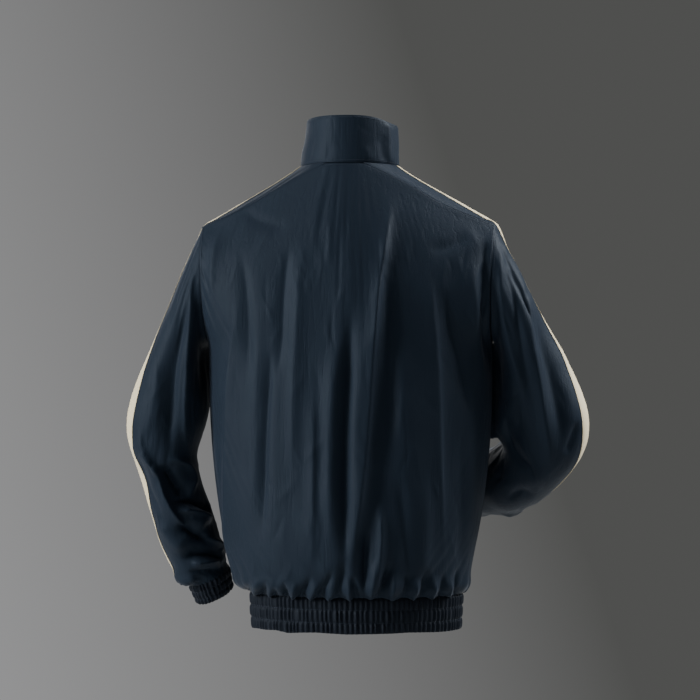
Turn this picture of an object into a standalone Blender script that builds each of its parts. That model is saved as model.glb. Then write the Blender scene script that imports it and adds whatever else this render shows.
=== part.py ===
"""A light nylon windbreaker, zipped to the top, in the hollow form it has when worn with both arms bent.

The frame is the jacket's own: +Z is up, the front faces -Y and the wearer's left is +X. The origin is the
centre of the neck opening at the collar's seam. All sizes are in millimetres until a mesh is made.
Each piece of cloth is first an open sheet of points, the middle of its wall, and then gets its thickness.
"""

import math

import bmesh
import bpy
import numpy as np

MM = 0.001

# ---------------------------------------------------------------- cloth
WALL = 1.6              # shell cloth with its turned seams
COLLAR_WALL = 2.2       # two layers of shell cloth
SLEEVE_TAPE_WALL = 1.0
SEAM_GAP = 0.3          # between the walls of neighbouring pieces

# ---------------------------------------------------------------- neck and collar
NECK_HALF_WIDTH = 71
NECK_HALF_DEPTH = 63
NECK_SHIFT = -1         # the ring's middle lies this far in front of the origin
NECK_RISE = 16          # the seam is this high at the back and as low at the front
COLLAR_HALF_WIDTH = 69
COLLAR_HALF_DEPTH = 60
COLLAR_TOP_BACK = 84
COLLAR_TOP_DROP = 30    # from the back of the top edge to the front
COLLAR_ROWS = 3

# ---------------------------------------------------------------- body
HEM_SEAM = -603
HEM_BOTTOM = -653
UNDERARM = -240
LOW_ROWS = 12           # from the hem seam to the underarm
HIGH_ROWS = 7           # from the underarm to the shoulder
ROW_GROWTH = 1.35       # rows lie closer together near the hem
HEM_SWING = -9          # x of the middle of the hem, which hangs a little to the wearer's right
SWING_FROM = -580       # the cloth leans over to it from this height down

# height, half width, depth behind the middle, depth in front of it
TORSO = (
    (-603, 154, 104, 100),
    (-588, 170, 121, 111),
    (-560, 176, 127, 115),
    (-500, 189, 129, 118),
    (-420, 200, 126, 121),
    (-330, 206, 124, 125),
    (-240, 206, 122, 127),
)

# Centre line of each face from the underarm's level up to the neck, in equal steps.
# depth, height
BACK_CENTRE = ((122, -240), (121, -204), (118, -164), (113, -124), (104, -84), (92, -46), (77, -14), (62, 16))
FRONT_CENTRE = (
    (-127, -240), (-126, -208), (-122, -176), (-116, -144), (-107, -112), (-95, -80), (-81, -48), (-64, -16),
)

# ---------------------------------------------------------------- armhole and shoulder strap
ARMHOLE_X = 210
ARMHOLE_LEAN = 4        # the top lies this much further out than the middle
ARMHOLE_MIDDLE = -153
ARMHOLE_HALF_HEIGHT = 87
ARMHOLE_HALF_DEPTH = 58
STRAP_END_HALF = 24     # half the strap's width where it runs into the sleeve
STRAP_NECK_BACK = math.radians(22.4)    # where the strap's seams meet the neck, from the centre back
STRAP_NECK_TOP = math.radians(85)
STRAP_NECK_FRONT = math.radians(140)
STRAP_ROWS = 15

# x, y, z
STRAP_BACK = ((94, 47, -16), (138, 42, -42), (175, 34, -58))
STRAP_TOP = ((105, 3, -6), (145, 1, -27), (180, 0, -47))
STRAP_FRONT = ((94, -45, -18), (138, -40, -43), (175, -33, -59))

# ---------------------------------------------------------------- sleeves
# Each row is a section of the arm: its middle, the direction across it to the side with the tape, half its
# width in that direction, and half its width from front to back.
# x, y, z, across x, across y, across z, half across, half depth
LEFT_ARM = (
    (210, 0, -153, 0.05, 0, 1.00, 87, 58),      # armhole
    (223, -1, -177, 0.08, 0, 1.00, 75, 62),
    (233, -4, -221, 0.29, 0, 0.96, 66, 65),
    (244, -9, -265, 0.56, 0, 0.83, 62, 65),
    (258, -13, -307, 0.77, 0, 0.64, 61, 63),
    (273, -15, -341, 0.90, 0, 0.44, 60, 60),
    (281, -15, -372, 0.98, 0, 0.20, 57, 56),    # elbow
    (277, -17, -404, 1.00, 0, -0.05, 46, 53),
    (268, -22, -442, 0.96, 0, -0.26, 41, 51),
    (255, -30, -485, 0.94, 0, -0.35, 43, 50),
    (243, -39, -527, 0.92, 0, -0.40, 43, 50),
    (228, -48, -566, 0.92, 0, -0.40, 39, 47),
    (218, -53, -586, 0.93, 0, -0.37, 32, 40),   # seam to the cuff
)
RIGHT_ARM = (
    (-210, 0, -153, -0.05, 0, 1.00, 87, 58),
    (-223, -1, -177, -0.08, 0, 1.00, 75, 62),
    (-233, -7, -220, -0.28, 0, 0.96, 67, 65),
    (-244, -18, -263, -0.51, 0, 0.86, 69, 65),
    (-256, -28, -305, -0.72, 0, 0.69, 72, 63),
    (-271, -33, -340, -0.89, 0, 0.45, 72, 61),
    (-283, -35, -364, -0.97, 0.08, 0.20, 68, 59),
    (-284, -39, -386, -0.99, -0.05, 0.02, 61, 57),      # elbow
    (-267, -52, -408, -0.93, -0.25, -0.25, 51, 55),
    (-246, -70, -426, -0.80, -0.40, -0.45, 51, 54),
    (-218, -98, -440, -0.71, -0.52, -0.48, 52, 52),
    (-190, -128, -449, -0.71, -0.52, -0.48, 50, 50),
    (-160, -153, -456, -0.71, -0.52, -0.48, 44, 46),
    (-142, -167, -460, -0.71, -0.52, -0.48, 34, 39),
)
LEFT_CUFF_END = (210, -59, -615)
RIGHT_CUFF_END = (-117, -187, -466)
# How far the sleeve is twisted on the arm, so that its tape is turned to the back.
# along the arm, degrees
LEFT_TWIST = ((0, 0), (70, 8), (118, 14), (163, 20), (200, 32), (232, 31), (264, 16), (310, 3), (350, 0))
RIGHT_TWIST = ((0, 0), (150, 0), (200, 10), (240, 14), (280, 12), (330, 0))
UPPER_ARM_SHARE = 0.56      # of the way to the cuff, the part above the elbow's folds
UPPER_ARM_ROWS = 10
LOWER_ARM_ROWS = 11
ARM_SIDE_COLUMNS = 7        # from the strap's corner to the underarm, on each side

# ---------------------------------------------------------------- ribs of the hem band and the cuffs
RIB_HIGH = 2.6          # wall at a rib
RIB_LOW = 1.3           # wall between ribs
HEM_RIBS = 110
HEM_SIZES = (1.0, 0.985)    # the band against its seam, at the top and at the bottom
CUFF_RIBS = 30
CUFF_END_SIZE = 0.88    # the cuff's open end against its seam

# ---------------------------------------------------------------- sleeve tape and zip
SLEEVE_TAPE_HALF = 13
TAPE_END = 0.12         # share of a row that the tape stops short of the seams at its ends
ZIP_HALF_OPENING = 5
ZIP_TAPE_EDGE = 0.5     # from the centre line to the tape's inner edge
ZIP_TAPE_WIDTH = 13
ZIP_TAPE_WALL = 1.0
TEETH_HALF_WIDTH = 2.7
TEETH_OUT = 1.6         # outer face of the teeth, in front of the middle of the cloth
TEETH_IN = 0.8
SLIDER_ALONG = 0.8      # share of the collar's height at which the slider stands
SLIDER_HALF_WIDTH = 4.5
SLIDER_HALF_LENGTH = 6.5
PLATE = 1.2
BRIDGE_HALF_WIDTH = 1.3
BRIDGE_HALF_LENGTH = 4.0
BRIDGE_CLEAR = 2.4      # height of the hole that the pull tab's bar turns in
BRIDGE_WALL = 1.1
BRIDGE_MIDDLE = -1.0    # along the slider, from its middle
PULL_BAR_RADIUS = 0.7
PULL_HALF_WIDTH = 3.5
PULL_LENGTH = 25
PULL_WALL = 1.3
PULL_WINDOW_HALF = 1.9
PULL_WINDOW_LENGTH = 5.6
BOX_HEIGHT = 11
BOX_HALF_WIDTH = 4.5
BOX_PROUD = 0.6         # the box stands this much further out than the teeth

# ---------------------------------------------------------------- folds
# Folds of the body: a line from its place at the hem to its place at the shoulder, between two heights;
# depth is out from the body, so a trough is negative.
# x at the hem, x at the shoulder, from height, to height, depth, half width
BACK_FOLDS = (
    (166, 178, -610, -230, -4, 17),
    (120, 132, -640, -150, -6, 20),
    (72, 84, -640, -120, -6, 19),
    (34, 20, -640, -190, -5, 17),
    (-4, -26, -650, -60, 8, 19),
    (-48, -84, -640, -200, -7, 20),
    (-92, -112, -640, -280, 5, 19),
    (-138, -176, -630, -120, -6, 22),
)
FRONT_FOLDS = (
    (158, 170, -620, -190, -5, 20),
    (108, 128, -640, -160, 6, 20),
    (62, 76, -640, -240, -5, 20),
    (-60, -84, -640, -220, -6, 20),
    (-104, -120, -640, -150, 6, 21),
    (-150, -172, -630, -200, -5, 20),
)
# Folds of a sleeve: their place along the arm and round it (0 outside, 90 at the back), and their reach.
# along, around, depth, half length, half turn, slant
LEFT_SLEEVE_FOLDS = (
    (120, 88, -7, 85, 16, 0.0),
    (150, -80, -5, 80, 20, 0.0),
    (302, 100, -8, 15, 40, 0.2),
    (330, 60, 4, 14, 50, 0.2),
    (356, 118, -8, 12, 55, -0.3),
    (384, 70, 4, 12, 60, 0.0),
    (408, 120, -6, 11, 70, 0.2),
    (340, -100, -6, 16, 50, 0.0),
)
RIGHT_SLEEVE_FOLDS = (
    (130, 60, -6, 90, 15, 0.18),
    (150, 112, -6, 80, 17, 0.1),
    (150, -80, -5, 80, 20, 0.0),
    (290, 150, -6, 16, 40, 0.0),
    (330, 120, -6, 16, 45, 0.2),
    (372, 90, -6, 13, 55, -0.2),
    (405, 60, -5, 12, 60, 0.2),
)
GATHER_DEPTH = 4.0
GATHER_INWARD = 0.75    # troughs against ridges
GATHER_UNEVEN = 0.38    # how much smaller than the largest a middling gather is
GATHER_RISE = 10        # height above the seam at which a gather is full
GATHER_FADE = 62        # height above the seam over which it dies away

LEFT, RIGHT = 1, -1
BACK, FRONT = 1, -1


# ---------------------------------------------------------------- curves
def through(keys, rows, at):
    """Smooth curve through table rows that takes its slope at each row from the neighbouring rows."""
    keys = np.asarray(keys, float)
    rows = np.asarray(rows, float).reshape(len(keys), -1)
    at = np.clip(np.asarray(at, float), keys[0], keys[-1])
    slope = np.gradient(rows, keys, axis=0)
    i = np.clip(np.searchsorted(keys, at, side="right") - 1, 0, len(keys) - 2)
    span = (keys[i + 1] - keys[i])[..., None]
    f = (at - keys[i])[..., None] / span
    start = (2 * f**3 - 3 * f**2 + 1) * rows[i] + (f**3 - 2 * f**2 + f) * span * slope[i]
    end = (3 * f**2 - 2 * f**3) * rows[i + 1] + (f**3 - f**2) * span * slope[i + 1]
    return start + end


def evenly(curve, start, end, count):
    """Parameters that cut a curve into count pieces of equal length."""
    fine = np.linspace(start, end, 400)
    steps = np.linalg.norm(np.diff(curve(fine), axis=0), axis=1)
    length = np.concatenate([[0], np.cumsum(steps)])
    return np.interp(np.linspace(0, length[-1], count + 1), length, fine)


def smooth(share):
    """From 0 to 1 with no corner at either end."""
    share = np.clip(share, 0, 1)
    return share * share * (3 - 2 * share)


def unit(vectors):
    return vectors / np.linalg.norm(vectors, axis=-1, keepdims=True)


def neck(turn):
    """Collar seam, left half: turn is 0 at the centre back and pi at the zip."""
    drop = ((1 - np.cos(turn)) / 2) ** 3
    return np.stack([
        NECK_HALF_WIDTH * np.sin(turn),
        NECK_SHIFT + NECK_HALF_DEPTH * np.cos(turn),
        NECK_RISE * (1 - 2 * drop),
    ], -1)


def collar_edge(turn):
    """Top edge of the collar, left half."""
    drop = ((1 - np.cos(turn)) / 2) ** 2.3
    return np.stack([
        COLLAR_HALF_WIDTH * np.sin(turn),
        NECK_SHIFT + COLLAR_HALF_DEPTH * np.cos(turn),
        COLLAR_TOP_BACK - COLLAR_TOP_DROP * drop,
    ], -1)


def armhole(turn):
    """Left armhole seam: turn is 0 at the top, 90 degrees at the back, -90 at the front, 180 below."""
    return np.stack([
        ARMHOLE_X + ARMHOLE_LEAN * np.cos(turn),
        ARMHOLE_HALF_DEPTH * np.sin(turn),
        ARMHOLE_MIDDLE + ARMHOLE_HALF_HEIGHT * np.cos(turn),
    ], -1)


STRAP_CORNER = STRAP_END_HALF / ARMHOLE_HALF_DEPTH
ARMHOLE_TURNS = evenly(armhole, STRAP_CORNER, math.pi, ARM_SIDE_COLUMNS)
TAPE_TURN = SLEEVE_TAPE_HALF / ARMHOLE_HALF_DEPTH
STRAP_TURNS = np.array([
    -STRAP_CORNER, -(STRAP_CORNER + TAPE_TURN) / 2, -TAPE_TURN, 0,
    TAPE_TURN, (STRAP_CORNER + TAPE_TURN) / 2, STRAP_CORNER,
])
NECK_TAPE_TURN = SLEEVE_TAPE_HALF / NECK_HALF_DEPTH
STRAP_NECK_TURNS = np.array([
    STRAP_NECK_FRONT, (STRAP_NECK_FRONT + STRAP_NECK_TOP + NECK_TAPE_TURN) / 2,
    STRAP_NECK_TOP + NECK_TAPE_TURN, STRAP_NECK_TOP, STRAP_NECK_TOP - NECK_TAPE_TURN,
    (STRAP_NECK_BACK + STRAP_NECK_TOP - NECK_TAPE_TURN) / 2, STRAP_NECK_BACK,
])
STRAP_SEAM = {
    BACK: np.vstack([neck(STRAP_NECK_BACK), STRAP_BACK, armhole(STRAP_CORNER)]),
    FRONT: np.vstack([neck(STRAP_NECK_FRONT), STRAP_FRONT, armhole(-STRAP_CORNER)]),
}
STRAP_RIDGE = np.vstack([neck(STRAP_NECK_TOP), STRAP_TOP, armhole(0)])


def strap_seam(face, count=STRAP_ROWS):
    """Seam between a body panel and the shoulder strap, from the neck to the armhole."""
    seam = STRAP_SEAM[face]
    x = np.linspace(seam[0, 0], seam[-1, 0], count + 1)
    return np.column_stack([x, through(seam[:, 0], seam[:, 1:], x)])


# ---------------------------------------------------------------- sheets of cloth
class Sheet:
    """An open sheet: its points, its four-sided faces, and its named edges.

    An edge is two lists: the points along it, and the points next to them inside the sheet.
    """

    def __init__(self, points, faces):
        self.points = np.asarray(points, float).reshape(-1, 3)
        self.faces = faces
        self.edges = {}
        self.moves = np.zeros_like(self.points)

    def normals(self):
        """Direction out of the cloth at each point, from the faces round it."""
        total = np.zeros_like(self.points)
        for face in self.faces:
            a, b, c, d = self.points[list(face)]
            total[list(face)] += np.cross(c - a, d - b)
        return unit(total)

    def shift_out(self, amounts):
        self.points = self.points + self.normals() * np.asarray(amounts).reshape(-1, 1)

    def turn_edge(self, name):
        """Makes an edge run the other way."""
        self.edges[name] = tuple(line[::-1] for line in self.edges[name])

    def mirrored(self):
        """The same sheet on the other side of the centre line."""
        other = Sheet(self.points * (-1, 1, 1), [tuple(reversed(face)) for face in self.faces])
        other.edges = dict(self.edges)
        return other


def grid_faces(rows, columns, closed=False):
    """Faces of a grid of points, numbered row by row; a closed grid joins its last column to its first."""
    wide = columns if closed else columns - 1
    faces = []
    for r in range(rows - 1):
        for c in range(wide):
            n = (c + 1) % columns
            faces.append((r * columns + c, r * columns + n, (r + 1) * columns + n, (r + 1) * columns + c))
    return faces


def part_seam(sheet_a, edge_a, sheet_b, edge_b, wall=WALL):
    """Draws two sheets back from the seam they share until their walls are SEAM_GAP apart."""
    points_a, inner_a = sheet_a.edges[edge_a]
    points_b, inner_b = sheet_b.edges[edge_b]
    seam = sheet_a.points[points_a]
    along = unit(np.gradient(seam, axis=0))

    def away(inner):
        leaves = inner - seam
        return unit(leaves - (leaves * along).sum(1, keepdims=True) * along)

    away_a = away(sheet_a.points[inner_a])
    away_b = away(sheet_b.points[inner_b])
    draw = draw_back(away_a, away_b, wall)
    sheet_a.moves[points_a] += away_a * draw
    sheet_b.moves[points_b] += away_b * draw


def draw_back(away_a, away_b, wall):
    """How far two walls that meet at an angle stop short of their seam."""
    half = np.arccos(np.clip((away_a * away_b).sum(-1, keepdims=True), -1, 1)) / 2
    half = np.maximum(half, math.radians(20))
    return wall / 2 / np.tan(half) + SEAM_GAP / 2 / np.sin(half)


def part_from_band(sheet, edge, direction):
    """Draws a sheet back from a flat-topped band that leaves its edge in the given direction."""
    points, inner = sheet.edges[edge]
    away = unit(sheet.points[inner] - sheet.points[points])
    rise = -(away * direction).sum(1, keepdims=True)
    corner = WALL / 2 * np.sqrt(1 - rise**2)
    sheet.moves[points] += away * (corner + SEAM_GAP / 2) / rise


def hang(points):
    """Leans the foot of the body over to the place where the hem hangs."""
    points = np.asarray(points, float).copy()
    points[..., 0] += HEM_SWING * smooth((SWING_FROM - points[..., 2]) / (SWING_FROM - HEM_SEAM))
    return points


# ---------------------------------------------------------------- body panels
def low_heights():
    share = np.linspace(0, 1, LOW_ROWS + 1) ** ROW_GROWTH
    return HEM_SEAM + (UNDERARM - HEM_SEAM) * share


def neck_columns(face):
    """Distances from the centre line of the points of a body panel that lie on the collar's seam."""
    if face == BACK:
        return np.linspace(0, STRAP_SEAM[BACK][0, 0], 3)
    return np.linspace(ZIP_HALF_OPENING, STRAP_SEAM[FRONT][0, 0], 5)


def neck_turns(face):
    turn = np.arcsin(neck_columns(face) / NECK_HALF_WIDTH)
    return turn if face == BACK else math.pi - turn


def top_line(face, x):
    """Depth and height of a body panel's upper edge, at distances x from the centre line."""
    turn = np.arcsin(np.clip(x / NECK_HALF_WIDTH, 0, 1))
    on_neck = neck(turn if face == BACK else math.pi - turn)[..., 1:]
    seam = STRAP_SEAM[face]
    on_strap = through(seam[:, 0], seam[:, 1:], x)
    return np.where((x < seam[0, 0])[..., None], on_neck, on_strap)


def half_body(face):
    """Points of half a body panel on the left, rows from the hem up and columns from the centre out."""
    seam_x = strap_seam(face)[1:, 0]
    x_top = np.concatenate([neck_columns(face), seam_x])
    share = np.linspace(0, 1, len(x_top))
    start = x_top[0]

    rows = []
    for height in low_heights():
        width, back, front = through([row[0] for row in TORSO], [row[1:] for row in TORSO], height)
        x = start + (width - start) * np.sin(share * math.pi / 2)
        depth = back if face == BACK else -front
        y = depth * np.sqrt(np.clip(1 - (x / width) ** 2, 0, 1))
        rows.append(np.column_stack([x, y, np.full_like(x, height)]))

    low_share = rows[-1][:, 0] / rows[-1][-1, 0]
    top_share = x_top / x_top[-1]
    centre = np.asarray(BACK_CENTRE if face == BACK else FRONT_CENTRE, float)
    edge = armhole(face * ARMHOLE_TURNS[::-1])
    mid_top, edge_top = top_line(face, np.array([start])), top_line(face, x_top[-1:])
    for step in range(1, HIGH_ROWS + 1):
        blend = smooth(step / HIGH_ROWS)
        across = (1 - blend) * low_share + blend * top_share
        top_shape = (top_line(face, across * x_top[-1]) - edge_top) / (mid_top - edge_top)
        low_shape = np.column_stack([np.sqrt(np.clip(1 - across**2, 0, 1)), 1 - across**2])
        shape = (1 - blend) * low_shape + blend * top_shape
        at_edge, at_middle = edge[step], centre[step]
        yz = at_edge[1:] + (at_middle - at_edge[1:]) * shape
        rows.append(np.column_stack([across * at_edge[0], yz]))
    rows[-1][:, 1:] = top_line(face, x_top)
    return np.array(rows)


def body_edges(rows, columns, neck_count, column, inward, side):
    """Edges of one half of a body panel whose outer column is given, with inward the step to the centre."""
    def at(r, c):
        return r * columns + c

    low, top = range(LOW_ROWS + 1), rows - 1
    high = range(LOW_ROWS, rows)
    seam = [column + inward * i for i in range(STRAP_ROWS + 1)]
    neck_part = [seam[-1] + inward * i for i in range(neck_count)]
    return {
        f"side_{side}": ([at(r, column) for r in low], [at(r, column + inward) for r in low]),
        f"armhole_{side}": ([at(r, column) for r in high], [at(r, column + inward) for r in high]),
        f"strap_{side}": ([at(top, c) for c in seam], [at(top - 1, c) for c in seam]),
        f"neck_{side}": ([at(top, c) for c in neck_part], [at(top - 1, c) for c in neck_part]),
    }


def fold_depths(points, folds, shape):
    """How far out each point of a body panel is pushed by the folds that cross it."""
    x, z = points[:, 0], points[:, 2]
    total = np.zeros(len(points))
    for x_low, x_high, bottom, top, depth, half_width in folds:
        share = (z - HEM_SEAM) / (NECK_RISE - HEM_SEAM)
        line = x_low + (x_high - x_low) * share
        along = np.clip((z - bottom) / (top - bottom), 0, 1)
        total += depth * np.exp(-((x - line) / half_width) ** 2) * np.sin(math.pi * along)
    total = total.reshape(shape)
    edge_rows = smooth(np.arange(shape[0]) / 3) * smooth((shape[0] - 1 - np.arange(shape[0])) / 3)
    return total * edge_rows[:, None]


def gather_depths(shape, heights, first):
    """Gathers above the hem seam: neighbouring columns go out and in by uneven amounts."""
    column = np.arange(shape[1]) + first
    size = 1 - GATHER_UNEVEN * (1 - np.sin(column * 2.4) * np.cos(column * 0.9))
    wave = np.where(column % 2 == 0, 1.0, -GATHER_INWARD) * size
    rise = np.asarray(heights) - HEM_SEAM
    strength = GATHER_DEPTH * smooth(rise / GATHER_RISE) * np.exp(-(rise / GATHER_FADE) ** 2)
    return strength[:, None] * wave[None, :]


def calm_sides(shape, left, right):
    """1 inside a panel and 0 at the seams at its sides, reached over a number of columns."""
    column = np.arange(shape[1])
    return (smooth(column / left) * smooth((shape[1] - 1 - column) / right))[None, :]


def make_back():
    half = half_body(BACK)
    full = np.concatenate([half[:, :0:-1] * (-1, 1, 1), half], axis=1)
    rows, columns = full.shape[:2]
    sheet = Sheet(full, [tuple(reversed(face)) for face in grid_faces(rows, columns)])
    sheet.edges = {"hem": (list(range(columns)), list(range(columns, 2 * columns)))}
    sheet.edges.update(body_edges(rows, columns, 3, columns - 1, -1, "left"))
    sheet.edges.update(body_edges(rows, columns, 3, 0, 1, "right"))
    shape = (rows, columns)
    depth = fold_depths(sheet.points, BACK_FOLDS, shape) + gather_depths(shape, full[:, columns // 2, 2], 0)
    sheet.shift_out(depth * calm_sides(shape, 2, 2))
    return sheet


def make_front(side):
    half = half_body(FRONT)
    rows, columns = half.shape[:2]
    sheet = Sheet(half, grid_faces(rows, columns))
    sheet.edges = {"hem": (list(range(columns)), list(range(columns, 2 * columns)))}
    sheet.edges.update(body_edges(rows, columns, 5, columns - 1, -1, "side"))
    folds = [(side * row[0], side * row[1]) + row[2:] for row in FRONT_FOLDS if side * row[0] > 0]
    shape = (rows, columns)
    depth = fold_depths(sheet.points, folds, shape) + gather_depths(shape, half[:, 0, 2], side)
    calm = calm_sides(shape, 3, 2)
    calm[:, 1] = 0
    sheet.shift_out(depth * calm)
    return sheet if side == LEFT else sheet.mirrored()


# ---------------------------------------------------------------- sleeves
def strap_points():
    """Left shoulder strap: rows from the neck to the armhole, columns from its front seam to its back."""
    front, back = strap_seam(FRONT), strap_seam(BACK)
    x = np.linspace(STRAP_RIDGE[0, 0], STRAP_RIDGE[-1, 0], STRAP_ROWS + 1)
    ridge = np.column_stack([x, through(STRAP_RIDGE[:, 0], STRAP_RIDGE[:, 1:], x)])
    share = np.linspace(0, 1, STRAP_ROWS + 1)[:, None, None]
    at_neck = STRAP_NECK_TURNS
    side_neck = np.where(at_neck > STRAP_NECK_TOP, STRAP_NECK_FRONT, STRAP_NECK_BACK)
    place_neck = np.abs((at_neck - STRAP_NECK_TOP) / (side_neck - STRAP_NECK_TOP)) * np.sign(STRAP_TURNS)
    place_end = STRAP_TURNS / STRAP_CORNER
    place = (1 - share[:, :, 0]) * place_neck + share[:, :, 0] * place_end
    place = place[..., None]
    arch = (front[:, None] * place * (place - 1) / 2 + ridge[:, None] * (1 - place**2)
            + back[:, None] * place * (place + 1) / 2)
    neck_error = neck(at_neck) - arch[0]
    end_error = armhole(STRAP_TURNS) - arch[-1]
    return arch + neck_error * (1 - share) ** 2 + end_error * share**2


def arm_sections(arm, rows):
    """Sections of a sleeve at distances along its middle line: middle, across and depth vectors."""
    table = np.asarray(arm, float)
    steps = np.linalg.norm(np.diff(table[:, :3], axis=0), axis=1)
    keys = np.concatenate([[0], np.cumsum(steps)])
    along = keys[-1] * rows
    section = through(keys, table, along)
    middle = section[:, :3]
    ahead = unit(np.gradient(middle, along, axis=0))
    across = unit(section[:, 3:6])
    side = 1 if table[0, 0] > 0 else -1
    depth = side * unit(np.cross(across, ahead))
    return along, middle, across * section[:, 6:7], depth * section[:, 7:8]


def arm_rows():
    upper = np.linspace(0, UPPER_ARM_SHARE, UPPER_ARM_ROWS + 1)
    lower = np.linspace(UPPER_ARM_SHARE, 1, LOWER_ARM_ROWS + 1)
    return np.concatenate([upper, lower[1:]])


def sleeve_fold_depths(along, turns, folds):
    """How far out the folds push each point of a sleeve, given its distance along and its turn."""
    degrees = np.degrees(turns)
    total = np.zeros_like(degrees)
    for at, around, depth, half_length, half_turn, slant in folds:
        turn = (degrees - around + 180) % 360 - 180
        place = along[:, None] - at - slant * turn
        total += depth * np.exp(-(place / half_length) ** 2 - (turn / half_turn) ** 2)
    edge = smooth((along - along[0]) / 25) * smooth((along[-1] - along) / 12)
    return total * edge[:, None]


def make_sleeve(side, arm, twist, folds):
    """One sleeve with its shoulder strap: a strap of seven points a row that opens into a tube."""
    strap = strap_points() * (side, 1, 1)
    strap_wide = len(STRAP_TURNS)
    side_turns = ARMHOLE_TURNS[1:]
    # Ring order: over the strap from front to back, down the back, the underarm, and up the front.
    ring_turns = np.concatenate([STRAP_TURNS, side_turns, 2 * math.pi - side_turns[-2::-1]])
    around = len(ring_turns)
    along, middle, across, depth = arm_sections(arm, arm_rows())

    turns = []
    for row, half_depth in enumerate(np.linalg.norm(depth, axis=1)):
        tape = SLEEVE_TAPE_HALF / half_depth
        even = np.linspace(tape, math.pi, strap_wide // 2 + ARM_SIDE_COLUMNS)
        target = np.concatenate([-even[2::-1], [0], even, 2 * math.pi - even[-2:2:-1]])
        turns.append(ring_turns + (target - ring_turns) * smooth(row / 5))
    turns = np.array(turns) + np.radians(np.interp(along, *np.transpose(twist)))[:, None]
    tube = (middle[:, None] + across[:, None] * np.cos(turns)[..., None]
            + depth[:, None] * np.sin(turns)[..., None])
    tube[0] = armhole(ring_turns) * (side, 1, 1)

    points = [p for row in strap for p in row]
    first = len(points) - strap_wide
    rings = [list(range(first, len(points)))]
    points.extend(tube[0][strap_wide:])
    rings[0] += list(range(first + strap_wide, len(points)))
    for row in tube[1:]:
        rings.append(list(range(len(points), len(points) + around)))
        points.extend(row)

    faces = grid_faces(STRAP_ROWS + 1, strap_wide)
    for upper, lower in zip(rings, rings[1:]):
        for c in range(around):
            n = (c + 1) % around
            faces.append((upper[c], upper[n], lower[n], lower[c]))
    if side == LEFT:
        faces = [tuple(reversed(face)) for face in faces]
    sheet = Sheet(points, faces)
    amounts = np.zeros(len(points))
    folded = sleeve_fold_depths(along, turns, folds)
    for ring, row in zip(rings, folded):
        amounts[ring] = row
    sheet.shift_out(amounts)

    def strap_column(c):
        return [r * strap_wide + c for r in range(STRAP_ROWS + 1)]

    back_arm = list(range(strap_wide - 1, strap_wide + ARM_SIDE_COLUMNS))
    front_arm = [0] + list(range(around - 1, strap_wide + ARM_SIDE_COLUMNS - 2, -1))
    sheet.edges = {
        "neck": (list(range(strap_wide)), list(range(strap_wide, 2 * strap_wide))),
        "front": (strap_column(0), strap_column(1)),
        "back": (strap_column(strap_wide - 1), strap_column(strap_wide - 2)),
        "armhole_back": ([rings[0][c] for c in back_arm], [rings[1][c] for c in back_arm]),
        "armhole_front": ([rings[0][c] for c in front_arm], [rings[1][c] for c in front_arm]),
        "cuff": (rings[-1], rings[-2]),
    }
    centre = strap_wide // 2
    tape_rows = [[r * strap_wide + c for c in (centre - 1, centre, centre + 1)] for r in range(STRAP_ROWS)]
    tape_rows += [[ring[c] for c in (centre - 1, centre, centre + 1)] for ring in rings]
    return sheet, tape_rows, (middle[-1], across[-1], depth[-1])


# ---------------------------------------------------------------- collar
def make_collar():
    """The stand-up collar, from the zip round the left side and the back to the zip again."""
    left = np.concatenate([neck_turns(BACK), STRAP_NECK_TURNS[-2::-1], neck_turns(FRONT)[-2::-1]])
    level = np.linspace(0, 1, COLLAR_ROWS + 1)[:, None, None]
    bulge = 1 + 0.012 * np.sin(math.pi * level)
    half = neck(left) * (1 - level) + collar_edge(left) * level
    half *= np.concatenate([bulge, bulge, np.ones_like(bulge)], -1)
    full = np.concatenate([half[:, :0:-1] * (-1, 1, 1), half], axis=1)
    rows, columns = full.shape[:2]
    sheet = Sheet(full, [tuple(reversed(face)) for face in grid_faces(rows, columns)])
    centre = columns // 2

    def edge(start, count, step):
        line = [centre + step * (start + i) for i in range(count)]
        return line, [columns + c for c in line]

    strap_wide = len(STRAP_TURNS)
    for side, step in (("left", 1), ("right", -1)):
        sheet.edges[f"back_{side}"] = edge(0, 3, step)
        sheet.edges[f"strap_{side}"] = edge(2, strap_wide, step)
        sheet.edges[f"front_{side}"] = edge(1 + strap_wide, 5, step)
    return sheet


# ---------------------------------------------------------------- making meshes
def clear_scene():
    for obj in list(bpy.data.objects):
        bpy.data.objects.remove(obj, do_unlink=True)


def material(name, colour, roughness, metallic=0.0):
    finish = bpy.data.materials.new(name)
    finish.use_nodes = True
    shader = finish.node_tree.nodes["Principled BSDF"]
    shader.inputs["Base Color"].default_value = (*colour, 1)
    shader.inputs["Roughness"].default_value = roughness
    shader.inputs["Metallic"].default_value = metallic
    return finish


def halves(face):
    """The two triangles of a four-sided face, split from its lowest point number, so that walls that lie on
    each other are split alike."""
    start = face.index(min(face))
    a, b, c, d = face[start:] + face[:start]
    return (a, b, c), (a, c, d)


def add_mesh(name, points, faces, finish):
    """A named object in the jacket's collection, from points in millimetres."""
    mesh = bpy.data.meshes.new(name)
    triangles = [half for face in faces for half in halves(face)]
    mesh.from_pydata((np.asarray(points) * MM).tolist(), [], triangles)
    mesh.shade_smooth()
    mesh.materials.append(finish)
    obj = bpy.data.objects.new(name, mesh)
    bpy.data.collections["windbreaker"].objects.link(obj)
    return obj


def add_cloth(name, sheet, finish, wall=WALL, inner=None):
    """Gives a sheet its wall: to both sides of it, or with inner millimetres of the wall behind it."""
    obj = add_mesh(name, sheet.points + sheet.moves, sheet.faces, finish)
    thick = obj.modifiers.new("wall", "SOLIDIFY")
    thick.thickness = wall * MM
    thick.offset = 0 if inner is None else 1 - 2 * inner / wall
    return obj


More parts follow.
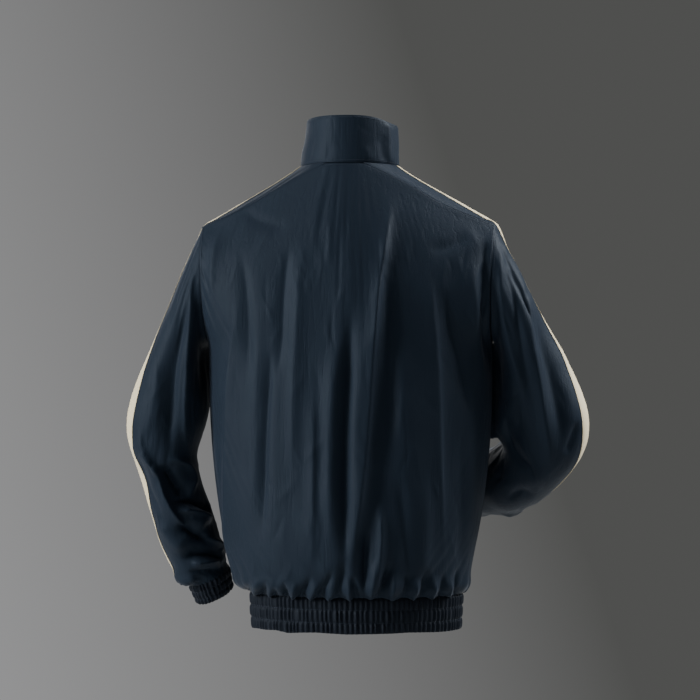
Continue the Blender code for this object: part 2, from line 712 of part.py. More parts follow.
def add_between(name, outer, inner, finish, closed=False):
    """A closed wall between two grids of points that have the same rows and columns."""
    outer, inner = np.asarray(outer, float), np.asarray(inner, float)
    rows, columns = outer.shape[:2]
    count = rows * columns
    front = grid_faces(rows, columns, closed)
    faces = front + [tuple(count + i for i in reversed(face)) for face in front]
    wide = columns if closed else columns - 1
    for c in range(wide):
        n = (c + 1) % columns
        last = (rows - 1) * columns
        faces.append((n, c, count + c, count + n))
        faces.append((last + c, last + n, count + last + n, count + last + c))
    if not closed:
        for r in range(rows - 1):
            a, b = r * columns, (r + 1) * columns
            faces.append((a, b, count + b, count + a))
            a, b = a + columns - 1, b + columns - 1
            faces.append((b, a, count + a, count + b))
    obj = add_mesh(name, np.concatenate([outer.reshape(-1, 3), inner.reshape(-1, 3)]), faces, finish)
    shape = bmesh.new()
    shape.from_mesh(obj.data)
    bmesh.ops.recalc_face_normals(shape, faces=shape.faces)
    shape.to_mesh(obj.data)
    shape.free()
    return obj


def add_box(name, size, place, frame, finish, bevel=0.0):
    """A block of the given size (mm) at a place in a piece's own frame."""
    bpy.ops.mesh.primitive_cube_add(size=1)
    obj = bpy.context.object
    obj.name = obj.data.name = name
    points = np.array([v.co[:] for v in obj.data.vertices]) * size + place
    world = (frame[0] + points @ frame[1]) * MM
    for vertex, point in zip(obj.data.vertices, world):
        vertex.co = point
    for collection in list(obj.users_collection):
        collection.objects.unlink(obj)
    bpy.data.collections["windbreaker"].objects.link(obj)
    obj.data.materials.append(finish)
    if bevel:
        edge = obj.modifiers.new("edges", "BEVEL")
        edge.width = bevel * MM
        edge.segments = 2
    return obj


def join_into(target, others):
    """Unites loose blocks with a piece, and takes them away."""
    for other in others:
        union = target.modifiers.new("join", "BOOLEAN")
        union.operation = "UNION"
        union.object = other
        other.hide_render = True
        other.display_type = "WIRE"
        for collection in list(other.users_collection):
            collection.objects.unlink(other)
        bpy.data.collections["cutters"].objects.link(other)


# ---------------------------------------------------------------- ribbed bands
def rib_wave(count):
    return np.where(np.arange(count) % 2 == 0, RIB_HIGH, RIB_LOW)


def hem_heights():
    return np.linspace(HEM_SEAM - SEAM_GAP, HEM_BOTTOM, len(HEM_SIZES))


def make_hem_band(finish):
    """The gathered elastic band, open at the zip: ribs outside and a plain inside."""
    width, back, front = TORSO[0][1:]

    def ring(turn):
        depth = np.where(np.cos(turn) > 0, back, front)
        return np.stack([width * np.sin(turn), depth * np.cos(turn), np.zeros_like(turn)], -1)

    end = math.pi - math.asin(ZIP_HALF_OPENING / width)
    turns = evenly(ring, -end, end, 2 * HEM_RIBS)
    line = ring(turns)
    out = unit(np.gradient(line, axis=0))[:, [1, 0, 2]] * (-1, 1, 1)
    out *= np.sign((out * line).sum(1, keepdims=True))
    rib = rib_wave(len(turns))[:, None]
    outer, inner = [], []
    for height, size in zip(hem_heights(), HEM_SIZES):
        middle = line * (size, size, 0) + (0, 0, height)
        inner.append(middle - out * WALL / 2)
        outer.append(middle + out * (rib - WALL / 2))
    return add_between("hem_band", hang(outer), hang(inner), finish)


def make_cuff(name, seam_section, end, finish):
    """An elastic cuff: a ribbed tube that carries on from the sleeve's last section."""
    middle, across, depth = seam_section
    end = np.asarray(end, float)
    axis = unit(end - middle)
    start = middle + axis * SEAM_GAP
    turns = np.arange(2 * CUFF_RIBS) * math.pi / CUFF_RIBS
    rib = rib_wave(len(turns))[:, None]
    sizes = (1.0, (1.0 + CUFF_END_SIZE) / 2 + 0.02, CUFF_END_SIZE)
    outer, inner = [], []
    for share, size in zip(np.linspace(0, 1, len(sizes)), sizes):
        centre = start + (end - start) * share
        round_ = across * np.cos(turns)[:, None] * size + depth * np.sin(turns)[:, None] * size
        out = unit(across / (across @ across) * np.cos(turns)[:, None]
                   + depth / (depth @ depth) * np.sin(turns)[:, None])
        inner.append(centre + round_ - out * WALL / 2)
        outer.append(centre + round_ + out * (rib - WALL / 2))
    return add_between(name, outer, inner, finish, closed=True)


# ---------------------------------------------------------------- sleeve tape
def make_sleeve_tape(name, sheet, tape_rows, finish):
    """Tape sewn down the middle of a sleeve: the sleeve's own points, moved out."""
    outward = sheet.normals()
    place = sheet.points + sheet.moves
    rows = np.array(tape_rows)
    low = WALL / 2 + SEAM_GAP
    base = place[rows]
    base[0] += (base[1] - base[0]) * TAPE_END
    base[-1] += (base[-2] - base[-1]) * TAPE_END
    inner = base + outward[rows] * low
    outer = base + outward[rows] * (low + SLEEVE_TAPE_WALL)
    return add_between(name, outer, inner, finish)


# ---------------------------------------------------------------- zip
def zip_rows(front, collar):
    """Rows down the left edge of the zip opening, from the slider to the hem.

    Each row is the cloth's edge point and the place on the cloth where the zip tape ends.
    """
    columns = len(neck_columns(FRONT)) + STRAP_ROWS
    rows = LOW_ROWS + HIGH_ROWS + 1
    panel = front.points.reshape(rows, columns, 3)[::-1]
    collar_columns = len(collar.points) // (COLLAR_ROWS + 1)
    stand = collar.points.reshape(COLLAR_ROWS + 1, collar_columns, 3)[::-1]
    pairs = [(row[-1], row[-2]) for row in stand[:-1]] + [(row[0], row[1]) for row in panel]
    edge = np.array([pair[0] for pair in pairs])
    next_in = np.array([pair[1] for pair in pairs])
    tape_end = ZIP_TAPE_EDGE + ZIP_TAPE_WIDTH
    share = (tape_end - edge[:, :1]) / (next_in[:, :1] - edge[:, :1])
    far = edge + (next_in - edge) * share
    slider = edge[0] + (neck(math.pi) - collar_edge(math.pi)) * (1 - SLIDER_ALONG)
    for line in (edge, far):
        line[0] = line[0] + (slider[2] - line[0, 2]) / (line[1, 2] - line[0, 2]) * (line[1] - line[0])
    hem_edge, hem_far = edge[-1], far[-1]
    for height, size in zip(hem_heights()[1:], HEM_SIZES[1:]):
        edge = np.vstack([edge, hem_edge * (1, size, 0) + (0, 0, height)])
        far = np.vstack([far, hem_far * (1, size, 0) + (0, 0, height)])
    return edge, far


def facing(line):
    """Direction out of the jacket along the zip's line."""
    along = np.gradient(line[:, 1:], axis=0)
    return unit(np.column_stack([np.zeros(len(line)), along[:, 1], -along[:, 0]]))


def make_zip(edge, far, tape_finish, coil, metal):
    """The closed zip behind the opening: two tapes, the teeth as one strip, the box, slider and pull tab."""
    out = facing(edge)
    inner_face = WALL / 2 + SEAM_GAP
    near = edge * (0, 1, 1) + (ZIP_TAPE_EDGE, 0, 0)
    rows = np.stack([near, edge, far], axis=1)
    top = rows[:, :, :] - out[:, None] * inner_face
    under = rows[:, :, :] - out[:, None] * (inner_face + ZIP_TAPE_WALL)
    add_between("zip_tape_left", hang(top), hang(under), tape_finish)
    flip = (-1, 1, 1)
    add_between("zip_tape_right", hang(top * flip), hang(under * flip), tape_finish)

    box_top = HEM_BOTTOM + BOX_HEIGHT
    centre = edge * (0, 1, 1)
    stop = (box_top + SEAM_GAP - edge[-1, 2]) / (edge[-2, 2] - edge[-1, 2])
    centre[-1] += (centre[-2] - centre[-1]) * stop
    band = np.stack([centre + (TEETH_HALF_WIDTH, 0, 0), centre - (TEETH_HALF_WIDTH, 0, 0)], axis=1)
    outer, inner = band + out[:, None] * TEETH_OUT, band - out[:, None] * TEETH_IN
    add_between("zip_teeth", hang(outer), hang(inner), coil)

    upright = np.eye(3)
    foot = hang([0, edge[-1, 1], HEM_BOTTOM])
    depth = TEETH_OUT + TEETH_IN
    add_box("zip_box", (2 * BOX_HALF_WIDTH, depth, BOX_HEIGHT),
            (0, -(TEETH_OUT - TEETH_IN) / 2 - BOX_PROUD, BOX_HEIGHT / 2), (foot, upright), metal, bevel=0.5)

    up = unit(centre[0] - centre[1])
    frame = (centre[0], np.array([(1, 0, 0), -out[0], up]))
    make_slider(frame, metal)
    make_pull(frame, metal)


def make_slider(frame, metal):
    """The slider: two plates round the teeth, joined above them, and the bridge that holds the pull tab."""
    front_face = -(TEETH_OUT + SEAM_GAP + PLATE)
    back_face = WALL / 2 + 2 * SEAM_GAP + ZIP_TAPE_WALL + PLATE
    wide, long = 2 * SLIDER_HALF_WIDTH, 2 * SLIDER_HALF_LENGTH
    slider = add_box("zip_slider", (wide, PLATE, long), (0, front_face + PLATE / 2, 0), frame, metal)
    crown = 3.0             # the block between the plates, along the zip
    crown_inset = 1.2       # from the slider's upper end
    blocks = [
        add_box("slider_back", (wide - 0.4, PLATE, long - 1), (0, back_face - PLATE / 2, 0), frame, metal),
        add_box("slider_crown", (wide - 1.5, back_face - front_face - PLATE, crown),
                (0, (front_face + back_face) / 2, SLIDER_HALF_LENGTH - crown_inset - crown / 2),
                frame, metal),
    ]
    leg = BRIDGE_CLEAR + BRIDGE_WALL
    sunk = 0.5              # the legs start this deep in the front plate
    overlap = 0.2           # and the bridge's top stands this much past them
    for end in (-1, 1):
        at = BRIDGE_MIDDLE + end * (BRIDGE_HALF_LENGTH - BRIDGE_WALL / 2)
        blocks.append(add_box("bridge_leg", (2 * BRIDGE_HALF_WIDTH, leg + sunk, BRIDGE_WALL),
                              (0, front_face - (leg - sunk) / 2, at), frame, metal))
    top = (2 * BRIDGE_HALF_WIDTH + overlap, BRIDGE_WALL, 2 * BRIDGE_HALF_LENGTH + overlap)
    top_face = front_face - BRIDGE_CLEAR - BRIDGE_WALL / 2
    blocks.append(add_box("bridge_top", top, (0, top_face, BRIDGE_MIDDLE), frame, metal))
    join_into(slider, blocks)


def make_pull(frame, metal):
    """The pull tab: a plate with a window, whose bar turns under the slider's bridge."""
    front_face = -(TEETH_OUT + SEAM_GAP + PLATE)
    axis = (0, front_face - BRIDGE_CLEAR / 2, BRIDGE_MIDDLE)
    pivot = frame[0] + np.asarray(axis) @ frame[1]
    wide = 2 * PULL_HALF_WIDTH
    rail = PULL_HALF_WIDTH - PULL_WINDOW_HALF
    own = (pivot, frame[1])
    bpy.ops.mesh.primitive_cylinder_add(vertices=12, radius=PULL_BAR_RADIUS * MM, depth=wide * MM,
                                        rotation=(0, math.pi / 2, 0), location=tuple(pivot * MM))
    bar = bpy.context.object
    bar.name = bar.data.name = "zip_pull"
    for collection in list(bar.users_collection):
        collection.objects.unlink(bar)
    bpy.data.collections["windbreaker"].objects.link(bar)
    bar.data.materials.append(metal)
    window = PULL_WINDOW_LENGTH
    blocks = []
    rail_length = window + 1.5      # the rails end inside the body
    for end in (-1, 1):
        blocks.append(add_box("pull_rail", (rail, PULL_WALL, rail_length),
                              (end * (PULL_HALF_WIDTH - rail / 2), 0, -rail_length / 2), own, metal))
    body = PULL_LENGTH - window
    inset = 0.1                     # the body's faces lie just inside the rails'
    blocks.append(add_box("pull_body", (wide - inset, PULL_WALL - inset, body),
                          (0, 0, -window - body / 2), own, metal))
    join_into(bar, blocks)


# ---------------------------------------------------------------- the jacket
def build():
    clear_scene()
    for name in ("windbreaker", "cutters"):
        bpy.context.scene.collection.children.link(bpy.data.collections.new(name))
    nylon = material("navy nylon", (0.012, 0.019, 0.032), 0.45)
    rib = material("navy elastic band", (0.010, 0.014, 0.022), 0.6)
    cream = material("cream woven tape", (0.72, 0.66, 0.50), 0.7)
    navy_tape = material("navy zip tape", (0.012, 0.015, 0.022), 0.8)
    coil = material("navy plastic", (0.010, 0.012, 0.018), 0.4)
    metal = material("dark nickel", (0.20, 0.20, 0.21), 0.35, 1.0)

    back = make_back()
    fronts = {LEFT: make_front(LEFT), RIGHT: make_front(RIGHT)}
    collar = make_collar()
    sleeves = {
        LEFT: make_sleeve(LEFT, LEFT_ARM, LEFT_TWIST, LEFT_SLEEVE_FOLDS),
        RIGHT: make_sleeve(RIGHT, RIGHT_ARM, RIGHT_TWIST, RIGHT_SLEEVE_FOLDS),
    }

    zip_line = zip_rows(fronts[LEFT], collar)
    for sheet in (back, *fronts.values()):
        sheet.points = hang(sheet.points)

    neck_wall = max(WALL, COLLAR_WALL)
    for side, word in ((LEFT, "left"), (RIGHT, "right")):
        front, sleeve = fronts[side], sleeves[side][0]
        # Edges that share a seam run the same way along it.
        for edge in ("armhole_back", "armhole_front", "front", "back", "neck"):
            sleeve.turn_edge(edge)
        collar.turn_edge(f"back_{word}")
        part_seam(back, f"side_{word}", front, "side_side")
        part_seam(back, f"armhole_{word}", sleeve, "armhole_back")
        part_seam(front, "armhole_side", sleeve, "armhole_front")
        part_seam(back, f"strap_{word}", sleeve, "back")
        part_seam(front, "strap_side", sleeve, "front")
        part_seam(back, f"neck_{word}", collar, f"back_{word}", neck_wall)
        part_seam(sleeve, "neck", collar, f"strap_{word}", neck_wall)
        part_seam(front, "neck_side", collar, f"front_{word}", neck_wall)
        part_from_band(front, "hem", (0, 0, -1))
    part_from_band(back, "hem", (0, 0, -1))

    add_cloth("back_panel", back, nylon)
    add_cloth("collar", collar, nylon, COLLAR_WALL, WALL / 2)
    make_hem_band(rib)
    cuff_ends = {LEFT: LEFT_CUFF_END, RIGHT: RIGHT_CUFF_END}
    for side, word in ((LEFT, "left"), (RIGHT, "right")):
        sleeve, tape_rows, seam_section = sleeves[side]
        part_from_band(sleeve, "cuff", unit(np.asarray(cuff_ends[side]) - seam_section[0]))
        add_cloth(f"front_{word}", fronts[side], nylon)
        add_cloth(f"sleeve_{word}", sleeve, nylon)
        make_cuff(f"cuff_{word}", seam_section, cuff_ends[side], rib)
        make_sleeve_tape(f"sleeve_tape_{word}", sleeve, tape_rows, cream)
    make_zip(*zip_line, navy_tape, coil, metal)


build()
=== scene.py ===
import math

import bmesh
import bpy
import numpy as np
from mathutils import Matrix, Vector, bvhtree, kdtree


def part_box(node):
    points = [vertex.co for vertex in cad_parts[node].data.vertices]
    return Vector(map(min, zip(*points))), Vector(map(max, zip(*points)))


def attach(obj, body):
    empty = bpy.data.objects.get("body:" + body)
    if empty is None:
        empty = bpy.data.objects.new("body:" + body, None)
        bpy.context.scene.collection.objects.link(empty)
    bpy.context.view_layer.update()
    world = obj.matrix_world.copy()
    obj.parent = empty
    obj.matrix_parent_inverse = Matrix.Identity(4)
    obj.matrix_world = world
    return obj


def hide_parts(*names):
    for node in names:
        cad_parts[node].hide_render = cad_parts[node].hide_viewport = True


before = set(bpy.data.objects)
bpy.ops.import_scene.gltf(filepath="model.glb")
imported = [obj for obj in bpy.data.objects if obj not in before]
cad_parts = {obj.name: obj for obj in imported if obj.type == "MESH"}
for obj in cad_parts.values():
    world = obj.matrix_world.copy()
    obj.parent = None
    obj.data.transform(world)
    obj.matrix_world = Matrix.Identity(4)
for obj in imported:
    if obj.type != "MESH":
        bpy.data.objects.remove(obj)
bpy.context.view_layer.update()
bpy.ops.object.select_all(action="DESELECT")

MM = 0.001

# ---------------------------------------------------------------- camera
# The jacket is seen from behind, a little to the wearer's right, from a few metres away at the height of the
# middle of the back.
VIEW_TURN = math.radians(188)
VIEW_DISTANCE = 4.0
VIEW_HEIGHT = -0.252
VIEW_WIDTH = 1.015          # what the picture's width takes in at the jacket

camera_data = bpy.data.cameras.new("camera")
camera_data.sensor_width = 36
camera_data.lens = camera_data.sensor_width * VIEW_DISTANCE / VIEW_WIDTH
camera = bpy.data.objects.new("camera", camera_data)
camera.location = (math.sin(VIEW_TURN) * VIEW_DISTANCE, -math.cos(VIEW_TURN) * VIEW_DISTANCE, VIEW_HEIGHT)
camera.rotation_euler = (math.pi / 2, 0, VIEW_TURN)
bpy.context.scene.collection.objects.link(camera)
bpy.context.scene.camera = camera

# ---------------------------------------------------------------- back
# The back is one piece of thin crisp nylon from the hem seam to the collar. It hangs from the shoulders in
# long folds, is pulled from both armholes, and puffs out over the elastic band that gathers it. Its seams are
# turned and topstitched.
SHELL_WALL = 1.2 * MM
SEAM_SINK = 0.7 * MM        # a turned edge lies this much lower than the cloth beside it
THICKNESS_EDGE = 4.5 * MM   # a solid's edges shorter than this run through its wall
YOKE_FOOT = -50             # millimetres; the cloth above it is drawn smooth over the shoulders
SETTLE_FRAMES = 20
SETTLE_CAP = 12 * MM        # how far a point may move as the cloth settles
SETTLE_HOLD = 0.2           # how strongly a point keeps its place as the cloth settles
FOLD_MARGIN = 14 * MM       # folds fade out this close to a seam
PLEAT_MARGIN = 3 * MM       # and pleats this close
SEAM_INSET = 3 * MM         # from a seam to its row of stitches
SMOOTH_ANGLE = math.radians(55)
YOKE_FADE = 70 * MM         # below the yoke's foot, the small wrinkles grow in over this height


def smooth(share):
    """From 0 to 1 with no corner at either end."""
    share = np.clip(share, 0, 1)
    return share * share * (3 - 2 * share)


def apply_modifiers(piece):
    """Makes a piece's modifiers part of its mesh."""
    with bpy.context.temp_override(object=piece, active_object=piece, selected_objects=[piece]):
        for modifier in list(piece.modifiers):
            bpy.ops.object.modifier_apply(modifier=modifier.name)


def refine(piece, splits):
    """Makes a sheet's faces finer and smooth, and keeps its corners."""
    finer = piece.modifiers.new("finer", "SUBSURF")
    finer.levels = finer.render_levels = splits
    finer.boundary_smooth = "PRESERVE_CORNERS"
    apply_modifiers(piece)


def new_piece(name, shape):
    """An object from a bmesh, which is freed."""
    mesh = bpy.data.meshes.new(name)
    shape.to_mesh(mesh)
    shape.free()
    piece = bpy.data.objects.new(name, mesh)
    bpy.context.scene.collection.objects.link(piece)
    return piece


def mesh_piece(name, spots, faces):
    """An object from a list of points and a list of faces."""
    mesh = bpy.data.meshes.new(name)
    mesh.from_pydata([tuple(spot) for spot in spots], [], faces)
    piece = bpy.data.objects.new(name, mesh)
    bpy.context.scene.collection.objects.link(piece)
    return piece


def outer_skin(node, name, splits=2, short=THICKNESS_EDGE):
    """The outer face of a node's wall as an open sheet of four-sided faces."""
    sheet = bmesh.new()
    sheet.from_mesh(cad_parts[node].data)
    bmesh.ops.remove_doubles(sheet, verts=sheet.verts, dist=0.01 * MM)
    bmesh.ops.join_triangles(sheet, faces=sheet.faces, angle_face_threshold=math.pi,
                             angle_shape_threshold=math.pi)
    rim = [f for f in sheet.faces if sum(e.calc_length() < short for e in f.edges) >= 2]
    bmesh.ops.delete(sheet, geom=rim, context="FACES")
    unseen, skins = set(sheet.faces), []
    while unseen:
        skin, ahead = [], [unseen.pop()]
        while ahead:
            face = ahead.pop()
            skin.append(face)
            for near in {f for e in face.edges for f in e.link_faces} & unseen:
                unseen.discard(near)
                ahead.append(near)
        skins.append(skin)
    skins.sort(key=lambda skin: sum(f.calc_area() for f in skin))
    bmesh.ops.delete(sheet, geom=[f for skin in skins[:-1] for f in skin], context="FACES")
    piece = new_piece(name, sheet)
    if splits:
        refine(piece, splits)
    return piece


def places(piece):
    """All the points of a piece."""
    spots = np.empty(len(piece.data.vertices) * 3)
    piece.data.vertices.foreach_get("co", spots)
    return spots.reshape(-1, 3)


def outward(piece):
    """The direction out of the cloth at each point."""
    normals = np.empty(len(piece.data.vertices) * 3)
    piece.data.vertex_normals.foreach_get("vector", normals)
    return normals.reshape(-1, 3)


def put(piece, spots):
    """Sets the places of all the points of a piece."""
    piece.data.vertices.foreach_set("co", spots.ravel())
    piece.data.update()


def move_out(piece, amounts):
    """Moves each point of a piece out of the cloth by its own amount."""
    put(piece, places(piece) + outward(piece) * amounts[:, None])


def edge_loops(piece):
    """The points on a sheet's edges, as closed rings in order."""
    count = {}
    for face in piece.data.polygons:
        for key in face.edge_keys:
            count[key] = count.get(key, 0) + 1
    near = {}
    for (a, b), faces in count.items():
        if faces == 1:
            near.setdefault(a, []).append(b)
            near.setdefault(b, []).append(a)
    loops = []
    while near:
        start = min(near)
        loop, last, here = [start], None, start
        while True:
            ahead = [n for n in near[here] if n != last]
            last, here = here, ahead[0]
            if here == start:
                break
            loop.append(here)
        for point in loop:
            del near[point]
        loops.append(loop)
    return loops


def edge_points(piece):
    """True at the points on a sheet's edges."""
    on_edge = np.zeros(len(piece.data.vertices), bool)
    for loop in edge_loops(piece):
        on_edge[loop] = True
    return on_edge


def from_edges(piece, reach):
    """From 0 on a sheet's edges to 1 at a distance from them."""
    spots = places(piece)
    edge = spots[edge_points(piece)]
    tree = kdtree.KDTree(len(edge))
    for i, spot in enumerate(edge):
        tree.insert(spot, i)
    tree.balance()
    return smooth(np.array([tree.find(spot)[2] for spot in spots]) / reach)


def seen_places(spots):
    """Where the camera sees each point: its distance to the right and its height, at the jacket's middle."""
    right = np.array([math.cos(VIEW_TURN), math.sin(VIEW_TURN), 0])
    toward = np.array([math.sin(VIEW_TURN), -math.cos(VIEW_TURN), 0])
    nearer = VIEW_DISTANCE / (VIEW_DISTANCE - spots @ toward)
    return np.column_stack([spots @ right * nearer, VIEW_HEIGHT + (spots[:, 2] - VIEW_HEIGHT) * nearer])


def facing_camera(piece):
    """From 0 where the cloth is turned away from the camera to 1 where it shows."""
    toward = np.array([math.sin(VIEW_TURN), -math.cos(VIEW_TURN), 0])
    return smooth(outward(piece) @ toward / 0.3)


def rounded_line(points, steps=8):
    """A smooth line through a few points."""
    points = np.asarray(points, float)
    ends = np.vstack([2 * points[0] - points[1], points, 2 * points[-1] - points[-2]])
    share = np.linspace(0, 1, steps, endpoint=False)[:, None]
    line = []
    for a, b, c, d in zip(ends, ends[1:], ends[2:], ends[3:]):
        line.append(0.5 * (2 * b + (c - a) * share + (2 * a - 5 * b + 4 * c - d) * share**2
                           + (3 * b - a - 3 * c + d) * share**3))
    return np.vstack(line + [points[-1:]])


def crease(flat, line, depth, half_width, lean=0.0, sharp=0.0, ends=0.3):
    """How far one fold moves each point of a cloth, whose points' places seen flat are given.

    The fold runs along a line and is deepest in its middle. With lean it is wider on the right of the line as
    one goes along it, and with sharp its top is an edge and not a round."""
    line = rounded_line(line)
    steps = np.linalg.norm(np.diff(line, axis=0), axis=1)
    run = np.concatenate([[0], np.cumsum(steps)])
    amounts = np.zeros(len(flat))
    reach = (3.2 + 2 * sharp) * half_width
    near = np.where(np.all((flat > line.min(0) - reach) & (flat < line.max(0) + reach), axis=1))[0]
    if not len(near):
        return amounts
    spots = flat[near]
    best = np.full(len(near), np.inf)
    side, share = np.zeros(len(near)), np.zeros(len(near))
    for i, (a, b) in enumerate(zip(line, line[1:])):
        way = b - a
        t = np.clip((spots - a) @ way / (way @ way), 0, 1)
        off = spots - a - t[:, None] * way
        gap = np.linalg.norm(off, axis=1)
        closer = gap < best
        best[closer] = gap[closer]
        side[closer] = np.sign(off[closer] @ np.array([-way[1], way[0]]))
        share[closer] = ((run[i] + t * steps[i]) / run[-1])[closer]
    gap = best / (half_width * (1 - lean * side))
    across = np.exp(-gap**2 / (1 - sharp + sharp * gap))
    taper = smooth(share / ends) * smooth((1 - share) / ends)
    amounts[near] = depth * taper * across
    return amounts


def lay_folds(flat, folds):
    """The sum of a table of folds, whose places and sizes are in millimetres."""
    total = np.zeros(len(flat))
    for line, depth, half, lean, sharp in folds:
        total += crease(flat, np.array(line) * MM, depth * MM, half * MM, lean, sharp)
    return total


def small_wrinkles(flat, seed, count, longest, depth, along=(0.0, 1.0), spread=0.3):
    """Many short weak creases that run roughly one way, as thin nylon keeps from being worn."""
    random = np.random.default_rng(seed)
    low, high = flat.min(0), flat.max(0)
    way = math.atan2(along[1], along[0])
    amounts = np.zeros(len(flat))
    for _ in range(count):
        middle = low + (high - low) * random.random(2)
        turn = way + random.normal(0, spread)
        reach = longest * (0.3 + 0.7 * random.random()) / 2
        step = np.array([math.cos(turn), math.sin(turn)]) * reach
        bend = np.array([-step[1], step[0]]) * random.normal(0, 0.15)
        size = depth * random.choice((-1, 1)) * (0.4 + 0.6 * random.random())
        amounts += crease(flat, (middle - step, middle + bend, middle + step), size,
                          reach * (0.07 + 0.07 * random.random()), sharp=0.85, ends=0.5)
    return amounts


def settle(piece, growth):
    """Lets a cloth that is cut larger than its form, by the growth given, buckle and sag a little."""
    spots = places(piece)
    edge = edge_points(piece)
    piece.shape_key_add(name="form")
    cut = piece.shape_key_add(name="cut")
    cut.data.foreach_set("co", (spots * growth).ravel())
    held = piece.vertex_groups.new(name="held")
    held.add([int(i) for i in np.where(edge)[0]], 1.0, "REPLACE")
    held.add([int(i) for i in np.where(~edge)[0]], SETTLE_HOLD, "REPLACE")
    cloth = piece.modifiers.new("cloth", "CLOTH")
    rules = cloth.settings
    rules.quality = 4
    rules.mass = 0.15
    rules.tension_stiffness = 20
    rules.compression_stiffness = 10
    rules.shear_stiffness = 10
    rules.bending_stiffness = 0.2
    rules.air_damping = 2
    rules.vertex_group_mass = "held"
    rules.rest_shape_key = cut
    cloth.collision_settings.use_collision = False
    cloth.point_cache.frame_start, cloth.point_cache.frame_end = 1, SETTLE_FRAMES
    for number in range(1, SETTLE_FRAMES + 1):
        bpy.context.scene.frame_set(number)
    settled = places(piece.evaluated_get(bpy.context.evaluated_depsgraph_get()))
    bpy.context.scene.frame_set(1)
    piece.modifiers.remove(cloth)
    piece.shape_key_clear()
    piece.vertex_groups.clear()
    step = settled - spots
    length = np.linalg.norm(step, axis=1)[:, None]
    put(piece, spots + step * np.minimum(1, SETTLE_CAP / np.maximum(length, 1e-9)))


def give_wall(piece, wall):
    """Gives a sheet its thickness, inwards, and smooth shading."""
    thick = piece.modifiers.new("wall", "SOLIDIFY")
    thick.thickness = wall
    thick.offset = -1
    apply_modifiers(piece)
    piece.data.shade_smooth()
    piece.data.set_sharp_from_angle(angle=SMOOTH_ANGLE)


def add_uv(piece, flat, wrap=None):
    """A UV map in metres from the points' places on the cloth, seen flat. On a tube the first direction goes
    round it, and wrap is the distance once round."""
    layer = piece.data.uv_layers.new(name="cloth")
    corner = np.empty(len(piece.data.loops), int)
    piece.data.loops.foreach_get("vertex_index", corner)
    uv = flat[corner].copy()
    if wrap:
        start = np.empty(len(piece.data.polygons), int)
        total = np.empty(len(piece.data.polygons), int)
        piece.data.polygons.foreach_get("loop_start", start)
        piece.data.polygons.foreach_get("loop_total", total)
        first = np.repeat(uv[start, 0], total)
        uv[:, 0] -= np.round((uv[:, 0] - first) / wrap) * wrap
    layer.data.foreach_set("uv", uv.ravel())


def new_node_group(name, inputs, outputs):
    """A shader group with named inputs and outputs, and its two end nodes."""
    group = bpy.data.node_groups.new(name, "ShaderNodeTree")
    for socket, kind, value in inputs:
        made = group.interface.new_socket(socket, in_out="INPUT", socket_type=kind)
        if value is not None:
            made.default_value = value
    for socket, kind in outputs:
        group.interface.new_socket(socket, in_out="OUTPUT", socket_type=kind)
    return group, group.nodes.new("NodeGroupInput"), group.nodes.new("NodeGroupOutput")


def math_node(tree, operation, first, second=None):
    """A Math node fed by sockets or numbers."""
    node = tree.nodes.new("ShaderNodeMath")
    node.operation = operation
    for slot, value in ((0, first), (1, second)):
        if isinstance(value, bpy.types.NodeSocket):
            tree.links.new(value, node.inputs[slot])
        elif value is not None:
            node.inputs[slot].default_value = value
    return node.outputs[0]


def make_plain_weave():
    """Threads that pass over and under each other, from a place on the cloth in metres."""
    group, start, end = new_node_group(
        "plain_weave",
        (("Place", "NodeSocketVector", None), ("Threads per metre", "NodeSocketFloat", 2000.0)),
        (("Height", "NodeSocketFloat"),))
    split = group.nodes.new("ShaderNodeSeparateXYZ")
    group.links.new(start.outputs["Place"], split.inputs[0])
    waves = []
    for axis in (0, 1):
        turns = math_node(group, "MULTIPLY", split.outputs[axis], start.outputs["Threads per metre"])
        waves.append(math_node(group, "SINE", math_node(group, "MULTIPLY", turns, math.pi)))
    over = math_node(group, "GREATER_THAN", math_node(group, "MULTIPLY", waves[0], waves[1]), 0.0)
    warp = math_node(group, "MULTIPLY", math_node(group, "ABSOLUTE", waves[0]), over)
    weft = math_node(group, "MULTIPLY", math_node(group, "ABSOLUTE", waves[1]),
                     math_node(group, "SUBTRACT", 1.0, over))
    group.links.new(math_node(group, "ADD", warp, weft), end.inputs["Height"])
    return group


def make_crinkle():
    """The unevenness of worn cloth: a slow change of shade, and a fine crinkle drawn out along the cloth."""
    group, start, end = new_node_group(
        "crinkle",
        (("Place", "NodeSocketVector", None), ("Across", "NodeSocketFloat", 150.0),
         ("Along", "NodeSocketFloat", 15.0)),
        (("Height", "NodeSocketFloat"), ("Shade", "NodeSocketFloat")))
    stretch = group.nodes.new("ShaderNodeCombineXYZ")
    group.links.new(start.outputs["Across"], stretch.inputs[0])
    group.links.new(start.outputs["Across"], stretch.inputs[1])
    group.links.new(start.outputs["Along"], stretch.inputs[2])
    drawn = group.nodes.new("ShaderNodeVectorMath")
    drawn.operation = "MULTIPLY"
    group.links.new(start.outputs["Place"], drawn.inputs[0])
    group.links.new(stretch.outputs[0], drawn.inputs[1])
    fine = group.nodes.new("ShaderNodeTexNoise")
    fine.inputs["Scale"].default_value = 1.0
    fine.inputs["Detail"].default_value = 5.0
    fine.inputs["Roughness"].default_value = 0.6
    fine.inputs["Distortion"].default_value = 0.4
    group.links.new(drawn.outputs[0], fine.inputs["Vector"])
    slow = group.nodes.new("ShaderNodeTexNoise")
    slow.inputs["Scale"].default_value = 9.0
    slow.inputs["Detail"].default_value = 3.0
    group.links.new(start.outputs["Place"], slow.inputs["Vector"])
    valley = math_node(group, "ABSOLUTE", math_node(group, "SUBTRACT", fine.outputs["Fac"], 0.5))
    crest = math_node(group, "MULTIPLY", valley, -1.2)
    group.links.new(math_node(group, "ADD", crest, fine.outputs["Fac"]), end.inputs["Height"])
    group.links.new(slow.outputs["Fac"], end.inputs["Shade"])
    return group


